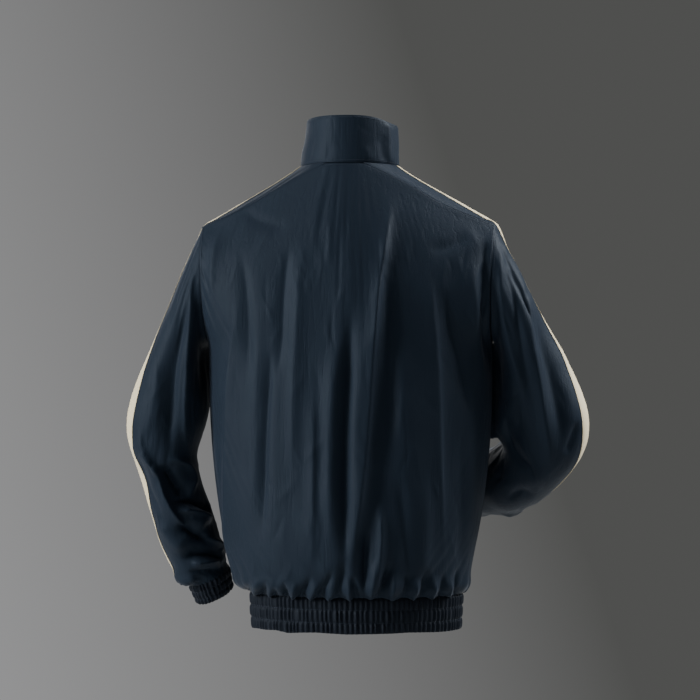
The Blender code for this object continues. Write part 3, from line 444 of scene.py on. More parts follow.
plain_weave = make_plain_weave()
crinkle = make_crinkle()


def cloth_finish(name, dark, light, threads, roughness, gloss, weave_depth, crinkle_depth, sheen, mapped=True):
    """A woven cloth: two shades of one colour, its threads, a crinkle, and a soft sheen. A piece that isn't
    mapped has no UV map and takes its threads from its place."""
    finish = bpy.data.materials.new(name)
    finish.use_nodes = True
    tree = finish.node_tree
    shader = tree.nodes["Principled BSDF"]
    where = tree.nodes.new("ShaderNodeTexCoord")
    weave = tree.nodes.new("ShaderNodeGroup")
    weave.node_tree = plain_weave
    weave.inputs["Threads per metre"].default_value = threads
    if mapped:
        uv = tree.nodes.new("ShaderNodeUVMap")
        uv.uv_map = "cloth"
        tree.links.new(uv.outputs["UV"], weave.inputs["Place"])
    else:
        turned = tree.nodes.new("ShaderNodeMapping")
        turned.inputs["Rotation"].default_value = (math.pi / 2, 0, 0)
        tree.links.new(where.outputs["Object"], turned.inputs["Vector"])
        tree.links.new(turned.outputs["Vector"], weave.inputs["Place"])
    worn = tree.nodes.new("ShaderNodeGroup")
    worn.node_tree = crinkle
    tree.links.new(where.outputs["Object"], worn.inputs["Place"])
    shade = tree.nodes.new("ShaderNodeMix")
    shade.data_type = "RGBA"
    shade.inputs["A"].default_value = (*dark, 1)
    shade.inputs["B"].default_value = (*light, 1)
    tree.links.new(worn.outputs["Shade"], shade.inputs["Factor"])
    tree.links.new(shade.outputs["Result"], shader.inputs["Base Color"])
    threads_bump = tree.nodes.new("ShaderNodeBump")
    threads_bump.inputs["Distance"].default_value = weave_depth
    threads_bump.inputs["Strength"].default_value = 0.5
    tree.links.new(weave.outputs["Height"], threads_bump.inputs["Height"])
    crinkle_bump = tree.nodes.new("ShaderNodeBump")
    crinkle_bump.inputs["Distance"].default_value = crinkle_depth
    tree.links.new(worn.outputs["Height"], crinkle_bump.inputs["Height"])
    tree.links.new(threads_bump.outputs["Normal"], crinkle_bump.inputs["Normal"])
    tree.links.new(crinkle_bump.outputs["Normal"], shader.inputs["Normal"])
    shader.inputs["Roughness"].default_value = roughness
    shader.inputs["Specular IOR Level"].default_value = gloss
    shader.inputs["Specular Tint"].default_value = (0.72, 0.86, 1.0, 1)
    shader.inputs["Sheen Weight"].default_value = sheen
    shader.inputs["Sheen Roughness"].default_value = 0.4
    shader.inputs["Sheen Tint"].default_value = (0.60, 0.68, 0.85, 1)
    return finish


def sew(name, carrier, lines, thread, pitch=3.2 * MM, length=2.3 * MM, radius=0.3 * MM):
    """Rows of stitches on a cloth: one short rounded bar of thread for each stitch, pressed into it."""
    rings = ((-1, 0.35), (-0.7, 1.0), (0.7, 1.0), (1, 0.35))
    spots, faces = [], []
    for line in lines:
        line = np.asarray(line, float)
        run = np.concatenate([[0], np.cumsum(np.linalg.norm(np.diff(line, axis=0), axis=1))])
        for at in np.arange(pitch / 2, run[-1] - pitch / 2, pitch):
            ends = [np.array([np.interp(at + half, run, line[:, k]) for k in range(3)])
                    for half in (-length / 2, length / 2)]
            _, middle, normal, _ = carrier.closest_point_on_mesh((ends[0] + ends[1]) / 2)
            middle, normal = np.array(middle), np.array(normal)
            way = ends[1] - ends[0]
            way -= (way @ normal) * normal
            way /= np.linalg.norm(way)
            side = np.cross(normal, way)
            start = len(spots)
            for along, size in rings:
                for x, y in ((1, 0), (0, 1), (-1, 0), (0, -1)):
                    spots.append(middle + way * along * length / 2
                                 + (side * x + normal * y * 0.8) * radius * size + normal * radius * 0.3)
            for ring in range(3):
                for k in range(4):
                    n = (k + 1) % 4
                    a, b = start + 4 * ring, start + 4 * ring + 4
                    faces.append((a + k, b + k, b + n, a + n))
            faces.append(tuple(start + k for k in range(4)))
            faces.append(tuple(start + 12 + k for k in (3, 2, 1, 0)))
    piece = mesh_piece(name, spots, faces)
    piece.data.shade_smooth()
    piece.data.materials.append(thread)
    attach(piece, "garment")


def seam_lines(piece, inset, keep):
    """Lines that follow a sheet's edges a little way in, where keep says so of the edge's points."""
    spots, normals = places(piece), outward(piece)
    lines = []
    for loop in edge_loops(piece):
        edge, out = spots[loop], normals[loop]
        way = np.roll(edge, -1, 0) - np.roll(edge, 1, 0)
        way /= np.linalg.norm(way, axis=1)[:, None]
        inward = np.cross(out, way)
        kept = keep(edge)
        lines.append([])
        for i in np.roll(np.arange(len(loop)), -int(np.argmin(kept))):
            if kept[i]:
                lines[-1].append(edge[i] + inward[i] * inset)
            else:
                lines.append([])
    return [line for line in lines if len(line) > 3]


# Folds that show, each in millimetres: its line, seen from the camera, as distances to the right and heights,
# how far out it stands, half its width, how much wider it is on the left, and how sharp its edge is.
BACK_FOLDS = (
    (((3, -165), (-1, -266), (-6, -354), (-7, -470), (-7, -610)), -13, 11, 0.1, 0.4),
    (((60, -30), (52, -100), (43, -160), (35, -232), (28, -324), (22, -397), (12, -484), (1, -564),
      (-6, -610)), 9, 13, 0.4, 0.8),
    (((64, -20), (52, -92), (42, -160), (35, -226), (29, -300)), 6, 12, 0.4, 0.85),
    (((-17, -223), (-25, -324), (-28, -426), (-28, -556)), 6, 13, 0.2, 0.4),
    (((-55, -296), (-52, -397), (-54, -528), (-58, -586)), 5, 10, 0.4, 0.6),
    (((-86, -81), (-96, -165), (-100, -245), (-109, -303)), -3, 7, 0.0, 0.7),
    (((-74, -90), (-75, -180), (-81, -296), (-84, -470)), 4, 10, 0.0, 0.5),
    (((-113, -230), (-122, -354), (-126, -470), (-128, -539)), -6, 8, 0.3, 0.8),
    (((-135, -180), (-135, -324), (-139, -528)), 3, 12, 0.0, 0.3),
    (((-157, -104), (-149, -194), (-145, -303)), -3, 8, 0.0, 0.5),
    (((-165, -187), (-174, -274), (-178, -354), (-180, -470), (-177, -600)), 6, 10, -0.3, 0.8),
    (((-196, -317), (-191, -426), (-187, -535)), -4, 10, 0.0, 0.3),
    (((51, -100), (55, -223), (59, -324), (57, -433)), -4, 11, 0.0, 0.4),
    (((75, -223), (78, -310), (75, -397)), 2.5, 15, 0.0, 0.2),
    (((46, -462), (45, -542), (36, -620)), 8, 9, 0.2, 0.7),
    (((70, -419), (78, -498), (88, -614)), -4, 11, 0.0, 0.3),
    (((107, -426), (109, -528), (103, -614)), 3, 12, 0.0, 0.3),
    (((112, -120), (121, -190), (127, -296), (130, -426), (138, -571)), 6, 12, 0.4, 0.8),
    (((135, -158), (151, -223), (164, -284), (175, -354)), -7, 11, 0.4, 0.7),
    (((162, -368), (164, -498), (158, -614)), -4, 12, 0.0, 0.3),
    (((175, -114), (187, -223), (190, -324)), 4, 10, 0.0, 0.4),
    (((-177, -75), (-194, -97), (-200, -139), (-199, -201)), 3, 8, 0.0, 0.6),
    (((194, -81), (199, -133), (197, -197), (200, -296)), -9, 9, 0.0, 0.5),
    (((-30, -56), (-30, -92), (-32, -133)), 1.5, 5, 0.0, 0.8),
    (((-160, -46), (-128, -66), (-87, -75)), -1.5, 9, 0.0, 0.4),
    (((174, -81), (145, -101), (109, -107)), -2, 10, 0.0, 0.4),
)
# Pleats that the band gathers, seen the same way: the foot, to the right, and the top, to the right and up.
# Then their depth and half width.
BACK_PLEATS = (
    (-148, -145, -583, -4, 5), (-128, -119, -583, -5, 5), (-109, -106, -591, -4, 4),
    (-91, -96, -583, -5, 5), (-74, -54, -577, -7, 6), (-46, -23, -568, -7, 7), (-17, -7, -551, -6, 7),
    (9, 4, -577, -6, 5), (20, 26, -491, -7, 6), (42, 62, -554, -7, 6), (78, 88, -571, -6, 5),
    (103, 112, -565, -6, 6), (130, 136, -574, -5, 5), (152, 158, -565, -5, 5), (-138, -133, -580, 3, 5),
    (-117, -112, -591, 3, 4), (-83, -78, -586, 4, 5), (-59, -42, -588, 4, 5), (-33, -17, -597, 4, 5),
    (0, 0, -586, 4, 4), (30, 39, -551, 3, 5), (61, 68, -568, 4, 6), (90, 100, -580, 4, 5),
    (117, 125, -577, 4, 5), (142, 146, -577, 3, 5),
)
HEM_SEAM = -603             # millimetres
PLEAT_FOOT = -615           # where the back's pleats start, seen from the camera
PLEAT_TAIL = 14             # a pleat's line runs on this far below its foot, unseen
PLEAT_GAIN = 1.5
BLOUSE = 3.5 * MM           # how far the cloth puffs out just above the seam


def hung_growth(piece):
    """How much larger than its form a hanging panel is cut, in x, y and z: more in width towards the hem."""
    height = places(piece)[:, 2]
    return np.column_stack([1.02 + 0.06 * np.clip((-height - 0.1) / 0.5, 0, 1),
                            np.ones(len(height)), np.full(len(height), 1.015)])


def lay_pleats(flat, pleats, start):
    """The sum of a table of pleats, whose feet are at a height in millimetres."""
    total = np.zeros(len(flat))
    for foot, top, rise, depth, half in pleats:
        line = np.array([(foot, start - PLEAT_TAIL), (foot, start), (top, rise)]) * MM
        total += crease(flat, line, PLEAT_GAIN * depth * MM, half * MM, sharp=0.8, ends=0.45)
    return total


def blouse(piece):
    """How far the cloth stands out over the band that gathers it."""
    height = places(piece)[:, 2] / MM - HEM_SEAM
    return BLOUSE * np.exp(-((height - 13) / 12) ** 2) * from_edges(piece, 4 * MM)


thread_navy = cloth_finish("navy_thread", (0.012, 0.018, 0.030), (0.022, 0.030, 0.046), 1900, 0.5, 0.2,
                           0.02 * MM, 0.1 * MM, 0.2)
nylon = cloth_finish("navy_nylon", (0.0105, 0.0170, 0.0280), (0.0175, 0.0265, 0.0410), 1900, 0.48, 0.09,
                     0.07 * MM, 0.5 * MM, 0.10)

back = outer_skin("back_panel", "back")
settle(back, hung_growth(back))
refine(back, 1)
flat = seen_places(places(back))
below_yoke = smooth((YOKE_FOOT * MM - flat[:, 1]) / YOKE_FADE)
amounts = lay_folds(flat, BACK_FOLDS) + small_wrinkles(flat, 11, 170, 0.11, 1.1 * MM) * below_yoke
amounts *= from_edges(back, FOLD_MARGIN)
amounts += lay_pleats(flat, BACK_PLEATS, PLEAT_FOOT) * from_edges(back, PLEAT_MARGIN) + blouse(back)
move_out(back, amounts - SEAM_SINK * edge_points(back))
add_uv(back, places(back)[:, [0, 2]])
back_seams = seam_lines(back, SEAM_INSET, lambda edge: edge[:, 2] > (HEM_SEAM + 8) * MM)
give_wall(back, SHELL_WALL)
back.data.materials.append(nylon)
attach(back, "garment")
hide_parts("back_panel")
sew("back_stitches", back, back_seams, thread_navy)

# ---------------------------------------------------------------- fronts
# Each front is one piece of nylon from the zip to the side seam, hung and gathered as the back is.
# The same columns, but the lines are distances from the middle towards the side seam, and heights.
FRONT_FOLDS = (
    (((30, -110), (34, -300), (31, -600)), -6, 12, 0.1, 0.3),
    (((50, -80), (56, -260), (52, -440), (46, -604)), 5, 12, 0.3, 0.7),
    (((80, -110), (82, -330), (76, -604)), -6, 12, 0.0, 0.4),
    (((104, -120), (106, -330), (98, -580)), 4, 14, 0.2, 0.6),
    (((132, -100), (134, -300), (124, -604)), -5, 12, 0.0, 0.3),
    (((158, -150), (158, -330), (148, -590)), 4, 13, 0.3, 0.6),
    (((182, -170), (180, -330), (170, -595)), -5, 11, 0.0, 0.4),
    (((196, -122), (180, -180), (152, -300)), -4, 9, 0.0, 0.5),
    (((198, -150), (190, -230), (176, -330)), 4, 8, 0.0, 0.7),
    (((152, -72), (112, -116), (62, -150)), -2.5, 12, 0.0, 0.4),
    (((14, -160), (15, -330), (14, -480)), -2, 8, 0.0, 0.3),
)
# The foot and the top, from the middle towards the side seam, then the top's height.
FRONT_PLEATS = (
    (22, 24, -560, -5, 5), (34, 37, -577, 4, 4), (48, 54, -520, -7, 6), (62, 66, -574, 4, 5),
    (78, 86, -550, -7, 6), (93, 97, -580, 4, 5), (108, 116, -540, -6, 6), (123, 128, -576, 4, 5),
    (138, 146, -560, -6, 6), (150, 156, -580, 3, 5),
)
HEM_SHIFT = -9              # the foot of the fronts hangs this far to the wearer's right
for word, side, seed in (("left", 1, 21), ("right", -1, 22)):
    front = outer_skin(f"front_{word}", f"front_{word}_cloth")
    settle(front, hung_growth(front))
    refine(front, 1)
    flat = places(front)[:, [0, 2]]
    shift = HEM_SHIFT * MM * smooth((-flat[:, 1] - 0.3) / 0.3)
    flat = np.column_stack([(flat[:, 0] - shift) * side, flat[:, 1]])
    amounts = lay_folds(flat, FRONT_FOLDS) + small_wrinkles(flat, seed, 60, 0.10, 0.9 * MM)
    amounts *= from_edges(front, FOLD_MARGIN)
    amounts += lay_pleats(flat, FRONT_PLEATS, HEM_SEAM) * from_edges(front, PLEAT_MARGIN) + blouse(front)
    move_out(front, amounts - SEAM_SINK * edge_points(front))
    add_uv(front, places(front)[:, [0, 2]])
    seams = seam_lines(front, SEAM_INSET, lambda edge: edge[:, 2] > (HEM_SEAM + 8) * MM)
    give_wall(front, SHELL_WALL)
    front.data.materials.append(nylon)
    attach(front, "garment")
    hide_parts(f"front_{word}")
    sew(f"front_{word}_stitches", front, seams, thread_navy)

# ---------------------------------------------------------------- sleeves
# Each sleeve is one piece with a strap that runs over the shoulder to the collar. It is full, and breaks into
# sharp folds at the bent elbow and above the cuff, where the cloth that is too long for the arm piles up.
# The middle of each arm, in millimetres.
LEFT_ARM = ((210, 0, -153), (233, -4, -221), (258, -13, -307), (273, -15, -341), (281, -15, -372),
            (277, -17, -404), (268, -22, -442), (255, -30, -485), (243, -39, -527), (228, -48, -566),
            (218, -53, -586))
RIGHT_ARM = ((-210, 0, -153), (-233, -7, -220), (-256, -28, -305), (-271, -33, -340), (-283, -35, -364),
             (-284, -39, -386), (-267, -52, -408), (-246, -70, -426), (-218, -98, -440), (-190, -128, -449),
             (-160, -153, -456), (-142, -167, -460))
ARM_RADIUS = 55             # millimetres
SLEEVE_GROWTH = 1.05        # a sleeve is cut this much larger than its form
# Folds that show, with the columns of BACK_FOLDS.
LEFT_SLEEVE_SEEN = (
    (((-235, -174), (-245, -230), (-255, -281), (-258, -339), (-261, -382), (-260, -420)), -9, 12, 0.35, 0.5),
    (((-229, -119), (-231, -180), (-236, -238), (-239, -296), (-241, -354), (-236, -400),
      (-232, -432)), 6, 8, -0.5, 0.9),
    (((-222, -124), (-213, -180), (-210, -238), (-213, -296), (-215, -324)), -8, 9, 0.0, 0.4),
    (((-278, -252), (-280, -303), (-287, -354), (-294, -390)), 3, 9, 0.2, 0.7),
    (((-264, -165), (-276, -223), (-290, -281), (-303, -324)), 2.5, 10, 0.0, 0.3),
    (((-306, -361), (-297, -400), (-278, -429), (-264, -470), (-241, -504), (-212, -526)), 11, 7, 0.6, 0.95),
    (((-309, -394), (-300, -433), (-287, -467), (-267, -501)), -6, 8, 0.0, 0.5),
    (((-274, -418), (-262, -438), (-246, -456), (-236, -468)), -15, 9, 0.0, 0.6),
    (((-267, -412), (-249, -412), (-234, -420), (-226, -440), (-232, -466)), 7, 5, 0.0, 0.9),
    (((-262, -476), (-238, -472), (-214, -478), (-197, -492)), -12, 5, 0.0, 0.8),
    (((-256, -484), (-236, -483), (-214, -491), (-199, -505)), 13, 7, 0.2, 0.8),
    (((-242, -497), (-224, -502), (-208, -511)), 6, 10, 0.0, 0.2),
    (((-252, -502), (-234, -513), (-214, -525), (-196, -527)), -14, 6, 0.0, 0.7),
    (((-224, -534), (-204, -526), (-186, -538), (-177, -558)), 9, 5, 0.0, 0.9),
    (((-276, -498), (-254, -528), (-232, -543)), 6, 11, 0.0, 0.4),
    (((-246, -556), (-224, -548), (-200, -548), (-180, -556)), -11, 6, 0.0, 0.6),
    (((-232, -562), (-209, -560), (-184, -556)), 7, 4, 0.0, 0.9),
    (((-262, -572), (-244, -584), (-216, -588)), 9, 8, 0.0, 0.4),
    (((-238, -574), (-212, -574), (-184, -570)), -7, 4, 0.0, 0.7),
)
RIGHT_SLEEVE_SEEN = (
    (((225, -85), (236, -124), (255, -184), (260, -223), (273, -293), (283, -354), (289, -404),
      (286, -458)), 7, 12, 0.0, 0.85),
    (((222, -100), (232, -143), (242, -194), (249, -245), (258, -296), (270, -351)), -6, 9, 0.0, 0.4),
    (((218, -87), (218, -150), (222, -194), (231, -238), (242, -278), (257, -327)), 4.5, 8, 0.3, 0.8),
    (((209, -139), (210, -208), (215, -281), (218, -327)), -4, 8, 0.0, 0.4),
    (((267, -184), (281, -252), (296, -313), (306, -368), (302, -417)), -6, 12, 0.0, 0.5),
    (((283, -180), (304, -238), (322, -284)), 3, 10, 0.0, 0.4),
    (((332, -355), (323, -380), (313, -406)), -5, 6, 0.0, 0.7),
    (((246, -368), (258, -400), (273, -432), (280, -461)), 6, 9, 0.5, 0.8),
    (((222, -332), (228, -377), (242, -406), (261, -423), (274, -451)), -6, 8, -0.4, 0.7),
    (((207, -180), (204, -252), (204, -322)), 3, 6, 0.0, 0.7),
    (((225, -470), (246, -458), (270, -464)), -4, 8, 0.0, 0.4),
)
# Folds on the sides that don't show: each line's points are the distance down the arm and the degrees round
# it, which are 0 outside, 90 behind, 180 inside and -90 in front. The rest is as before.
LEFT_SLEEVE_HIDDEN = (
    (((270, -30), (285, -90), (280, -150)), -7, 9, 0.2, 0.4),
    (((310, -30), (322, -90), (318, -150)), 6, 8, 0.3, 0.8),
    (((345, -20), (355, -90), (350, -150)), -7, 9, 0.0, 0.4),
    (((385, -20), (392, -90), (388, -150)), 6, 8, 0.3, 0.8),
    (((410, -20), (414, -90), (410, -150)), -5, 7, 0.0, 0.4),
    (((30, -60), (110, -70), (190, -80)), -6, 11, 0.0, 0.3),
    (((60, -110), (140, -105), (210, -110)), 5, 10, 0.2, 0.7),
    (((230, -60), (240, -100), (236, -150)), 5, 8, 0.2, 0.8),
)
RIGHT_SLEEVE_HIDDEN = (
    (((30, -60), (110, -70), (190, -80)), -6, 11, 0.0, 0.3),
    (((60, -110), (140, -105), (205, -120)), 5, 10, 0.2, 0.7),
    (((225, -120), (240, -150), (250, -175)), -7, 9, 0.0, 0.4),
    (((215, -60), (228, -100), (236, -140)), 5, 9, 0.3, 0.8),
    (((300, -10), (312, -60), (308, -120)), -6, 10, 0.0, 0.4),
    (((330, -20), (342, -80), (336, -140)), 6, 9, 0.3, 0.8),
    (((360, -10), (366, -70), (360, -130)), -6, 8, 0.0, 0.4),
    (((385, -20), (392, -80), (388, -140)), 5, 8, 0.3, 0.8),
    (((330, 20), (342, 80), (336, 140)), -6, 9, 0.0, 0.4),
    (((362, 20), (370, 80), (364, 140)), 6, 8, 0.3, 0.8),
    (((395, 20), (402, 80), (398, 140)), -5, 7, 0.0, 0.4),
    # The inner side lies against the body. It is one fold, given from both sides of the turn's jump at 180.
    *((tuple((run, turn) for run in (30, 120, 215, 300)), 12, 24, 0.0, 0.2) for turn in (180, -180)),
)


def along_arm(spots, arm):
    """Each point's distance down an arm's middle line, in metres, and its turn round it, in radians."""
    line = rounded_line(np.array(arm) * MM)
    steps = np.diff(line, axis=0)
    lengths = np.linalg.norm(steps, axis=1)
    run = np.concatenate([[0], np.cumsum(lengths)])
    side = np.sign(arm[0][0])
    best = np.full(len(spots), np.inf)
    down, turn = np.zeros(len(spots)), np.zeros(len(spots))
    for i, (start, step, length) in enumerate(zip(line, steps, lengths)):
        ahead = step / length
        t = (spots - start) @ ahead
        gap = np.linalg.norm(spots - start - np.clip(t, 0, length)[:, None] * ahead, axis=1)
        t = np.clip(t, -np.inf if i == 0 else 0, length)
        off = spots - start - t[:, None] * ahead
        out = np.array([side, 0, 0]) - side * ahead[0] * ahead
        out /= np.linalg.norm(out)
        behind = side * np.cross(out, ahead)
        closer = gap < best
        best[closer] = gap[closer]
        down[closer] = (run[i] + t)[closer]
        turn[closer] = np.arctan2(off @ behind, off @ out)[closer]
    return down, turn


sleeve_skins = {}
for word, arm, seen, hidden, seed in (
        ("left", LEFT_ARM, LEFT_SLEEVE_SEEN, LEFT_SLEEVE_HIDDEN, 31),
        ("right", RIGHT_ARM, RIGHT_SLEEVE_SEEN, RIGHT_SLEEVE_HIDDEN, 32)):
    sleeve = outer_skin(f"sleeve_{word}", f"sleeve_{word}_cloth")
    settle(sleeve, np.full(3, SLEEVE_GROWTH))
    refine(sleeve, 1)
    down, turn = along_arm(places(sleeve), arm)
    flat = np.column_stack([down, turn * ARM_RADIUS * MM])
    rolled = [([(run, math.radians(degrees) * ARM_RADIUS) for run, degrees in line], *rest)
              for line, *rest in hidden]
    shown = facing_camera(sleeve)
    amounts = lay_folds(seen_places(places(sleeve)), seen) * shown
    amounts += lay_folds(flat, rolled) * (1 - shown)
    amounts += small_wrinkles(flat, seed, 120, 0.08, 1.1 * MM, along=(0.8, 0.6), spread=0.5)
    move_out(sleeve, amounts * from_edges(sleeve, FOLD_MARGIN) - SEAM_SINK * edge_points(sleeve))
    add_uv(sleeve, flat[:, ::-1], wrap=2 * math.pi * ARM_RADIUS * MM)
    seams = seam_lines(sleeve, SEAM_INSET, lambda edge: edge[:, 2] > -260 * MM)
    sleeve_skins[word] = bvhtree.BVHTree.FromPolygons(
        [tuple(spot) for spot in places(sleeve)], [tuple(face.vertices) for face in sleeve.data.polygons])
    give_wall(sleeve, SHELL_WALL)
    sleeve.data.materials.append(nylon)
    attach(sleeve, "garment")
    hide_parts(f"sleeve_{word}")
    sew(f"sleeve_{word}_stitches", sleeve, seams, thread_navy)

# ---------------------------------------------------------------- collar
# A stand-up collar of two layers of nylon, turned at the top, topstitched and sewn to the neck. It is stiffer
# than the rest and bends rather sharply at the two sides.
COLLAR_WALL = 1.8 * MM
COLLAR_HEIGHT = 75 * MM
COLLAR_RADIUS = 66 * MM
COLLAR_LEAN = 7 * MM        # its top is pulled in this far at the wearer's left
COLLAR_DIP = 8 * MM         # and lies this much lower at the wearer's right
collar = outer_skin("collar", "collar_cloth", splits=3)
spots = places(collar)
around = np.arctan2(spots[:, 0], spots[:, 1])
rise = smooth(spots[:, 2] / COLLAR_HEIGHT)
spots[:, 0] -= COLLAR_LEAN * rise * smooth(spots[:, 0] / 0.06)
spots[:, 2] -= COLLAR_DIP * rise * np.exp(-((around + 1.35) / 0.55) ** 2)
put(collar, spots)
flat = np.column_stack([around * COLLAR_RADIUS, spots[:, 2]])
amounts = lay_folds(flat, (
    (((-70, 4), (-62, 30), (-58, 60)), -1.6, 7, 0.0, 0.4),
    (((-40, 2), (-38, 20), (-30, 44)), 1.2, 7, 0.0, 0.5),
    (((20, 2), (24, 22), (22, 50)), -1.0, 8, 0.0, 0.4),
    (((62, 4), (66, 30), (60, 62)), -1.4, 7, 0.0, 0.4),
    (((95, -2), (99, 20), (94, 50)), 1.2, 8, 0.0, 0.5),
    (((-110, -6), (-116, 20), (-108, 46)), -1.4, 8, 0.0, 0.4),
    (((-140, -8), (-146, 14), (-142, 40)), 1.2, 8, 0.0, 0.5),
    (((140, -8), (146, 14), (142, 40)), -1.2, 8, 0.0, 0.4),
    (((-76, -20), (-75, 10), (-74, 50), (-74, 110)), 3.0, 8, 0.0, 0.95),
))
amounts += small_wrinkles(flat, 41, 30, 0.05, 0.5 * MM, along=(0.4, 0.9), spread=0.5)
move_out(collar, amounts * from_edges(collar, 8 * MM) - SEAM_SINK * edge_points(collar))
add_uv(collar, flat)
seams = seam_lines(collar, SEAM_INSET, lambda edge: edge[:, 2] > -100 * MM)
give_wall(collar, COLLAR_WALL)
collar.data.materials.append(nylon)
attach(collar, "garment")
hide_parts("collar")
sew("collar_stitches", collar, seams, thread_navy)

# ---------------------------------------------------------------- hem band
# A tube of nylon sewn over wide elastic, which gathers it into narrow uneven ribs. Two rows of stretched
# stitching hold the layers together, and the cloth puffs out between them.
RIB_POINTS = 8              # across one rib
BAND_RIBS = 110
BAND_ROWS = 30
TUBE_WALL = 1.0 * MM        # of the band and the cuffs
TUBE_EDGE = 3.2 * MM        # a solid's edges shorter than this run through its wall
SEAM_ALLOWANCE = 0.08       # how much of its height runs up inside the cloth it is sewn to
STITCH_ROWS = (0.34, 0.70)  # shares of the band's height, from the top
elastic = cloth_finish("navy_elastic", (0.0070, 0.0095, 0.0150), (0.0120, 0.0155, 0.0230), 1900, 0.5, 0.10,
                       0.07 * MM, 0.35 * MM, 0.06)


def end_rings(skin, middle, axis, start):
    """The points of a tube's two ends, each in order round it, with the end that the axis points to first."""
    spots = places(skin)
    axis = np.asarray(axis, float) / np.linalg.norm(axis)
    first = np.asarray(start, float) - (np.asarray(start, float) @ axis) * axis
    first /= np.linalg.norm(first)
    second = np.cross(axis, first)
    high = (spots - middle) @ axis
    turn = np.arctan2((spots - middle) @ second, (spots - middle) @ first)
    rings = [np.array(loop) for loop in edge_loops(skin)]
    if len(rings) == 1:         # the tube is slit, so that one edge goes round both ends
        rings = [np.where(high > high.max() - 3 * MM)[0], np.where(high < high.min() + 3 * MM)[0]]
    rings.sort(key=lambda ring: -high[ring].mean())
    return [spots[ring[np.argsort(turn[ring])]] for ring in rings]


def gathered_tube(name, rings, ribs, rows, closed, seed, depth):
    """A ribbed tube between two rings, pinched at the stitch rows and puffed out between them."""
    random = np.random.default_rng(seed)
    columns = ribs * RIB_POINTS + (0 if closed else 1)
    share = np.arange(columns) / (ribs * RIB_POINTS)
    ends = []
    for ring in rings:
        if closed:
            ring = np.vstack([ring, ring[:1]])
        wide = 3
        soft = np.vstack([ring[-wide - 1:-1], ring, ring[1:wide + 1]]) if closed else \
            np.vstack([2 * ring[0] - ring[wide:0:-1], ring, 2 * ring[-1] - ring[-2:-wide - 2:-1]])
        soft = np.array([np.convolve(soft[:, k], np.ones(2 * wide + 1) / (2 * wide + 1), "valid")
                         for k in range(3)]).T
        at = np.linspace(0, 1, len(soft))
        ends.append(np.array([np.interp(share, at, soft[:, k]) for k in range(3)]).T)
    down = np.linspace(-SEAM_ALLOWANCE, 1, rows)[:, None, None]
    grid = ends[0] * (1 - down) + ends[1] * down
    if closed:
        way = np.roll(grid, -1, 1) - np.roll(grid, 1, 1)
    else:
        way = np.gradient(grid, axis=1)
    fall = np.gradient(grid, axis=0)
    out = np.cross(fall, way)
    out /= np.linalg.norm(out, axis=2)[:, :, None]
    if ((grid - grid.mean((0, 1))) * out).sum(2).mean() < 0:
        out = -out

    height = down[:, 0, 0]
    pinch = sum(np.exp(-((height - row) / 0.035) ** 2) for row in STITCH_ROWS)
    sewn = smooth((0.05 - height) / (0.05 + SEAM_ALLOWANCE))
    pinch = np.minimum(1, pinch + np.exp(-(height / 0.03) ** 2) + 0.6 * np.exp(-((1 - height) / 0.04) ** 2))
    level = np.searchsorted(STITCH_ROWS, height)
    size = 0.55 + 0.9 * random.random((len(STITCH_ROWS) + 1, ribs + 1))
    shift = random.normal(0, 0.16, (len(STITCH_ROWS) + 1, ribs + 1))
    if closed:
        size[:, -1], shift[:, -1] = size[:, 0], shift[:, 0]
    knots = np.arange(ribs + 1)
    waves = np.empty((rows, columns))
    for r in range(rows):
        place = share * ribs
        moved = place + np.interp(place, knots, shift[level[r]])
        ridge = np.abs(np.cos(math.pi * moved)) ** 1.6
        waves[r] = (ridge - 0.45) * np.interp(place, knots, size[level[r]])
    for _ in range(2):
        waves[1:-1] = (waves[:-2] + 2 * waves[1:-1] + waves[2:]) / 4
    bounds = np.array((0, *STITCH_ROWS, 1.001))
    within = (height - bounds[level]) / (bounds[level + 1] - bounds[level])
    puff = np.sin(math.pi * np.clip(within, 0, 1))
    amounts = depth * waves * (1 - 0.55 * pinch)[:, None] + depth * (0.2 * puff - 0.35 * pinch)[:, None]
    grid = grid + out * (amounts - 1.6 * MM * sewn[:, None])[:, :, None]
    uneven = random.normal(0, 0.7 * MM, ribs // 3 + 1)
    uneven[-1] = uneven[0]
    ripple = np.interp(share, np.linspace(0, 1, len(uneven)), uneven)
    drop = (ends[1] - ends[0]) / np.linalg.norm(ends[1] - ends[0], axis=1)[:, None]
    grid = grid + drop[None] * (np.maximum(height, 0) ** 3)[:, None, None] * ripple[None, :, None]

    faces = []
    for r in range(rows - 1):
        for c in range(columns if closed else columns - 1):
            n = (c + 1) % columns
            faces.append((r * columns + c, (r + 1) * columns + c, (r + 1) * columns + n, r * columns + n))
    piece = mesh_piece(name, grid.reshape(-1, 3), faces)
    if np.array(piece.data.polygons[0].normal) @ out[0, 0] < 0:
        piece.data.flip_normals()
    around = np.linalg.norm(np.diff(ends[0], axis=0), axis=1).sum()
    flat = np.column_stack([np.tile(share * around, rows),
                            np.repeat(height * np.linalg.norm(ends[0] - ends[1], axis=1).mean(), columns)])
    add_uv(piece, flat, wrap=around if closed else None)
    rows_at = [grid[np.argmin(np.abs(height - row))] for row in STITCH_ROWS]
    if closed:
        rows_at = [np.vstack([line, line[:1]]) for line in rows_at]
    return piece, rows_at


skin = outer_skin("hem_band", "band_skin", splits=0, short=TUBE_EDGE)
band_middle = np.mean(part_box("hem_band"), axis=0)
rings = end_rings(skin, band_middle, (0, 0, 1), (0, 1, 0))
bpy.data.objects.remove(skin, do_unlink=True)
band, rows_at = gathered_tube("hem_band_cloth", rings, BAND_RIBS, BAND_ROWS, False, 51, 2.2 * MM)
give_wall(band, TUBE_WALL)
band.data.materials.append(elastic)
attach(band, "garment")
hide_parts("hem_band")
sew("hem_band_stitches", band, rows_at, thread_navy, pitch=3.0 * MM)

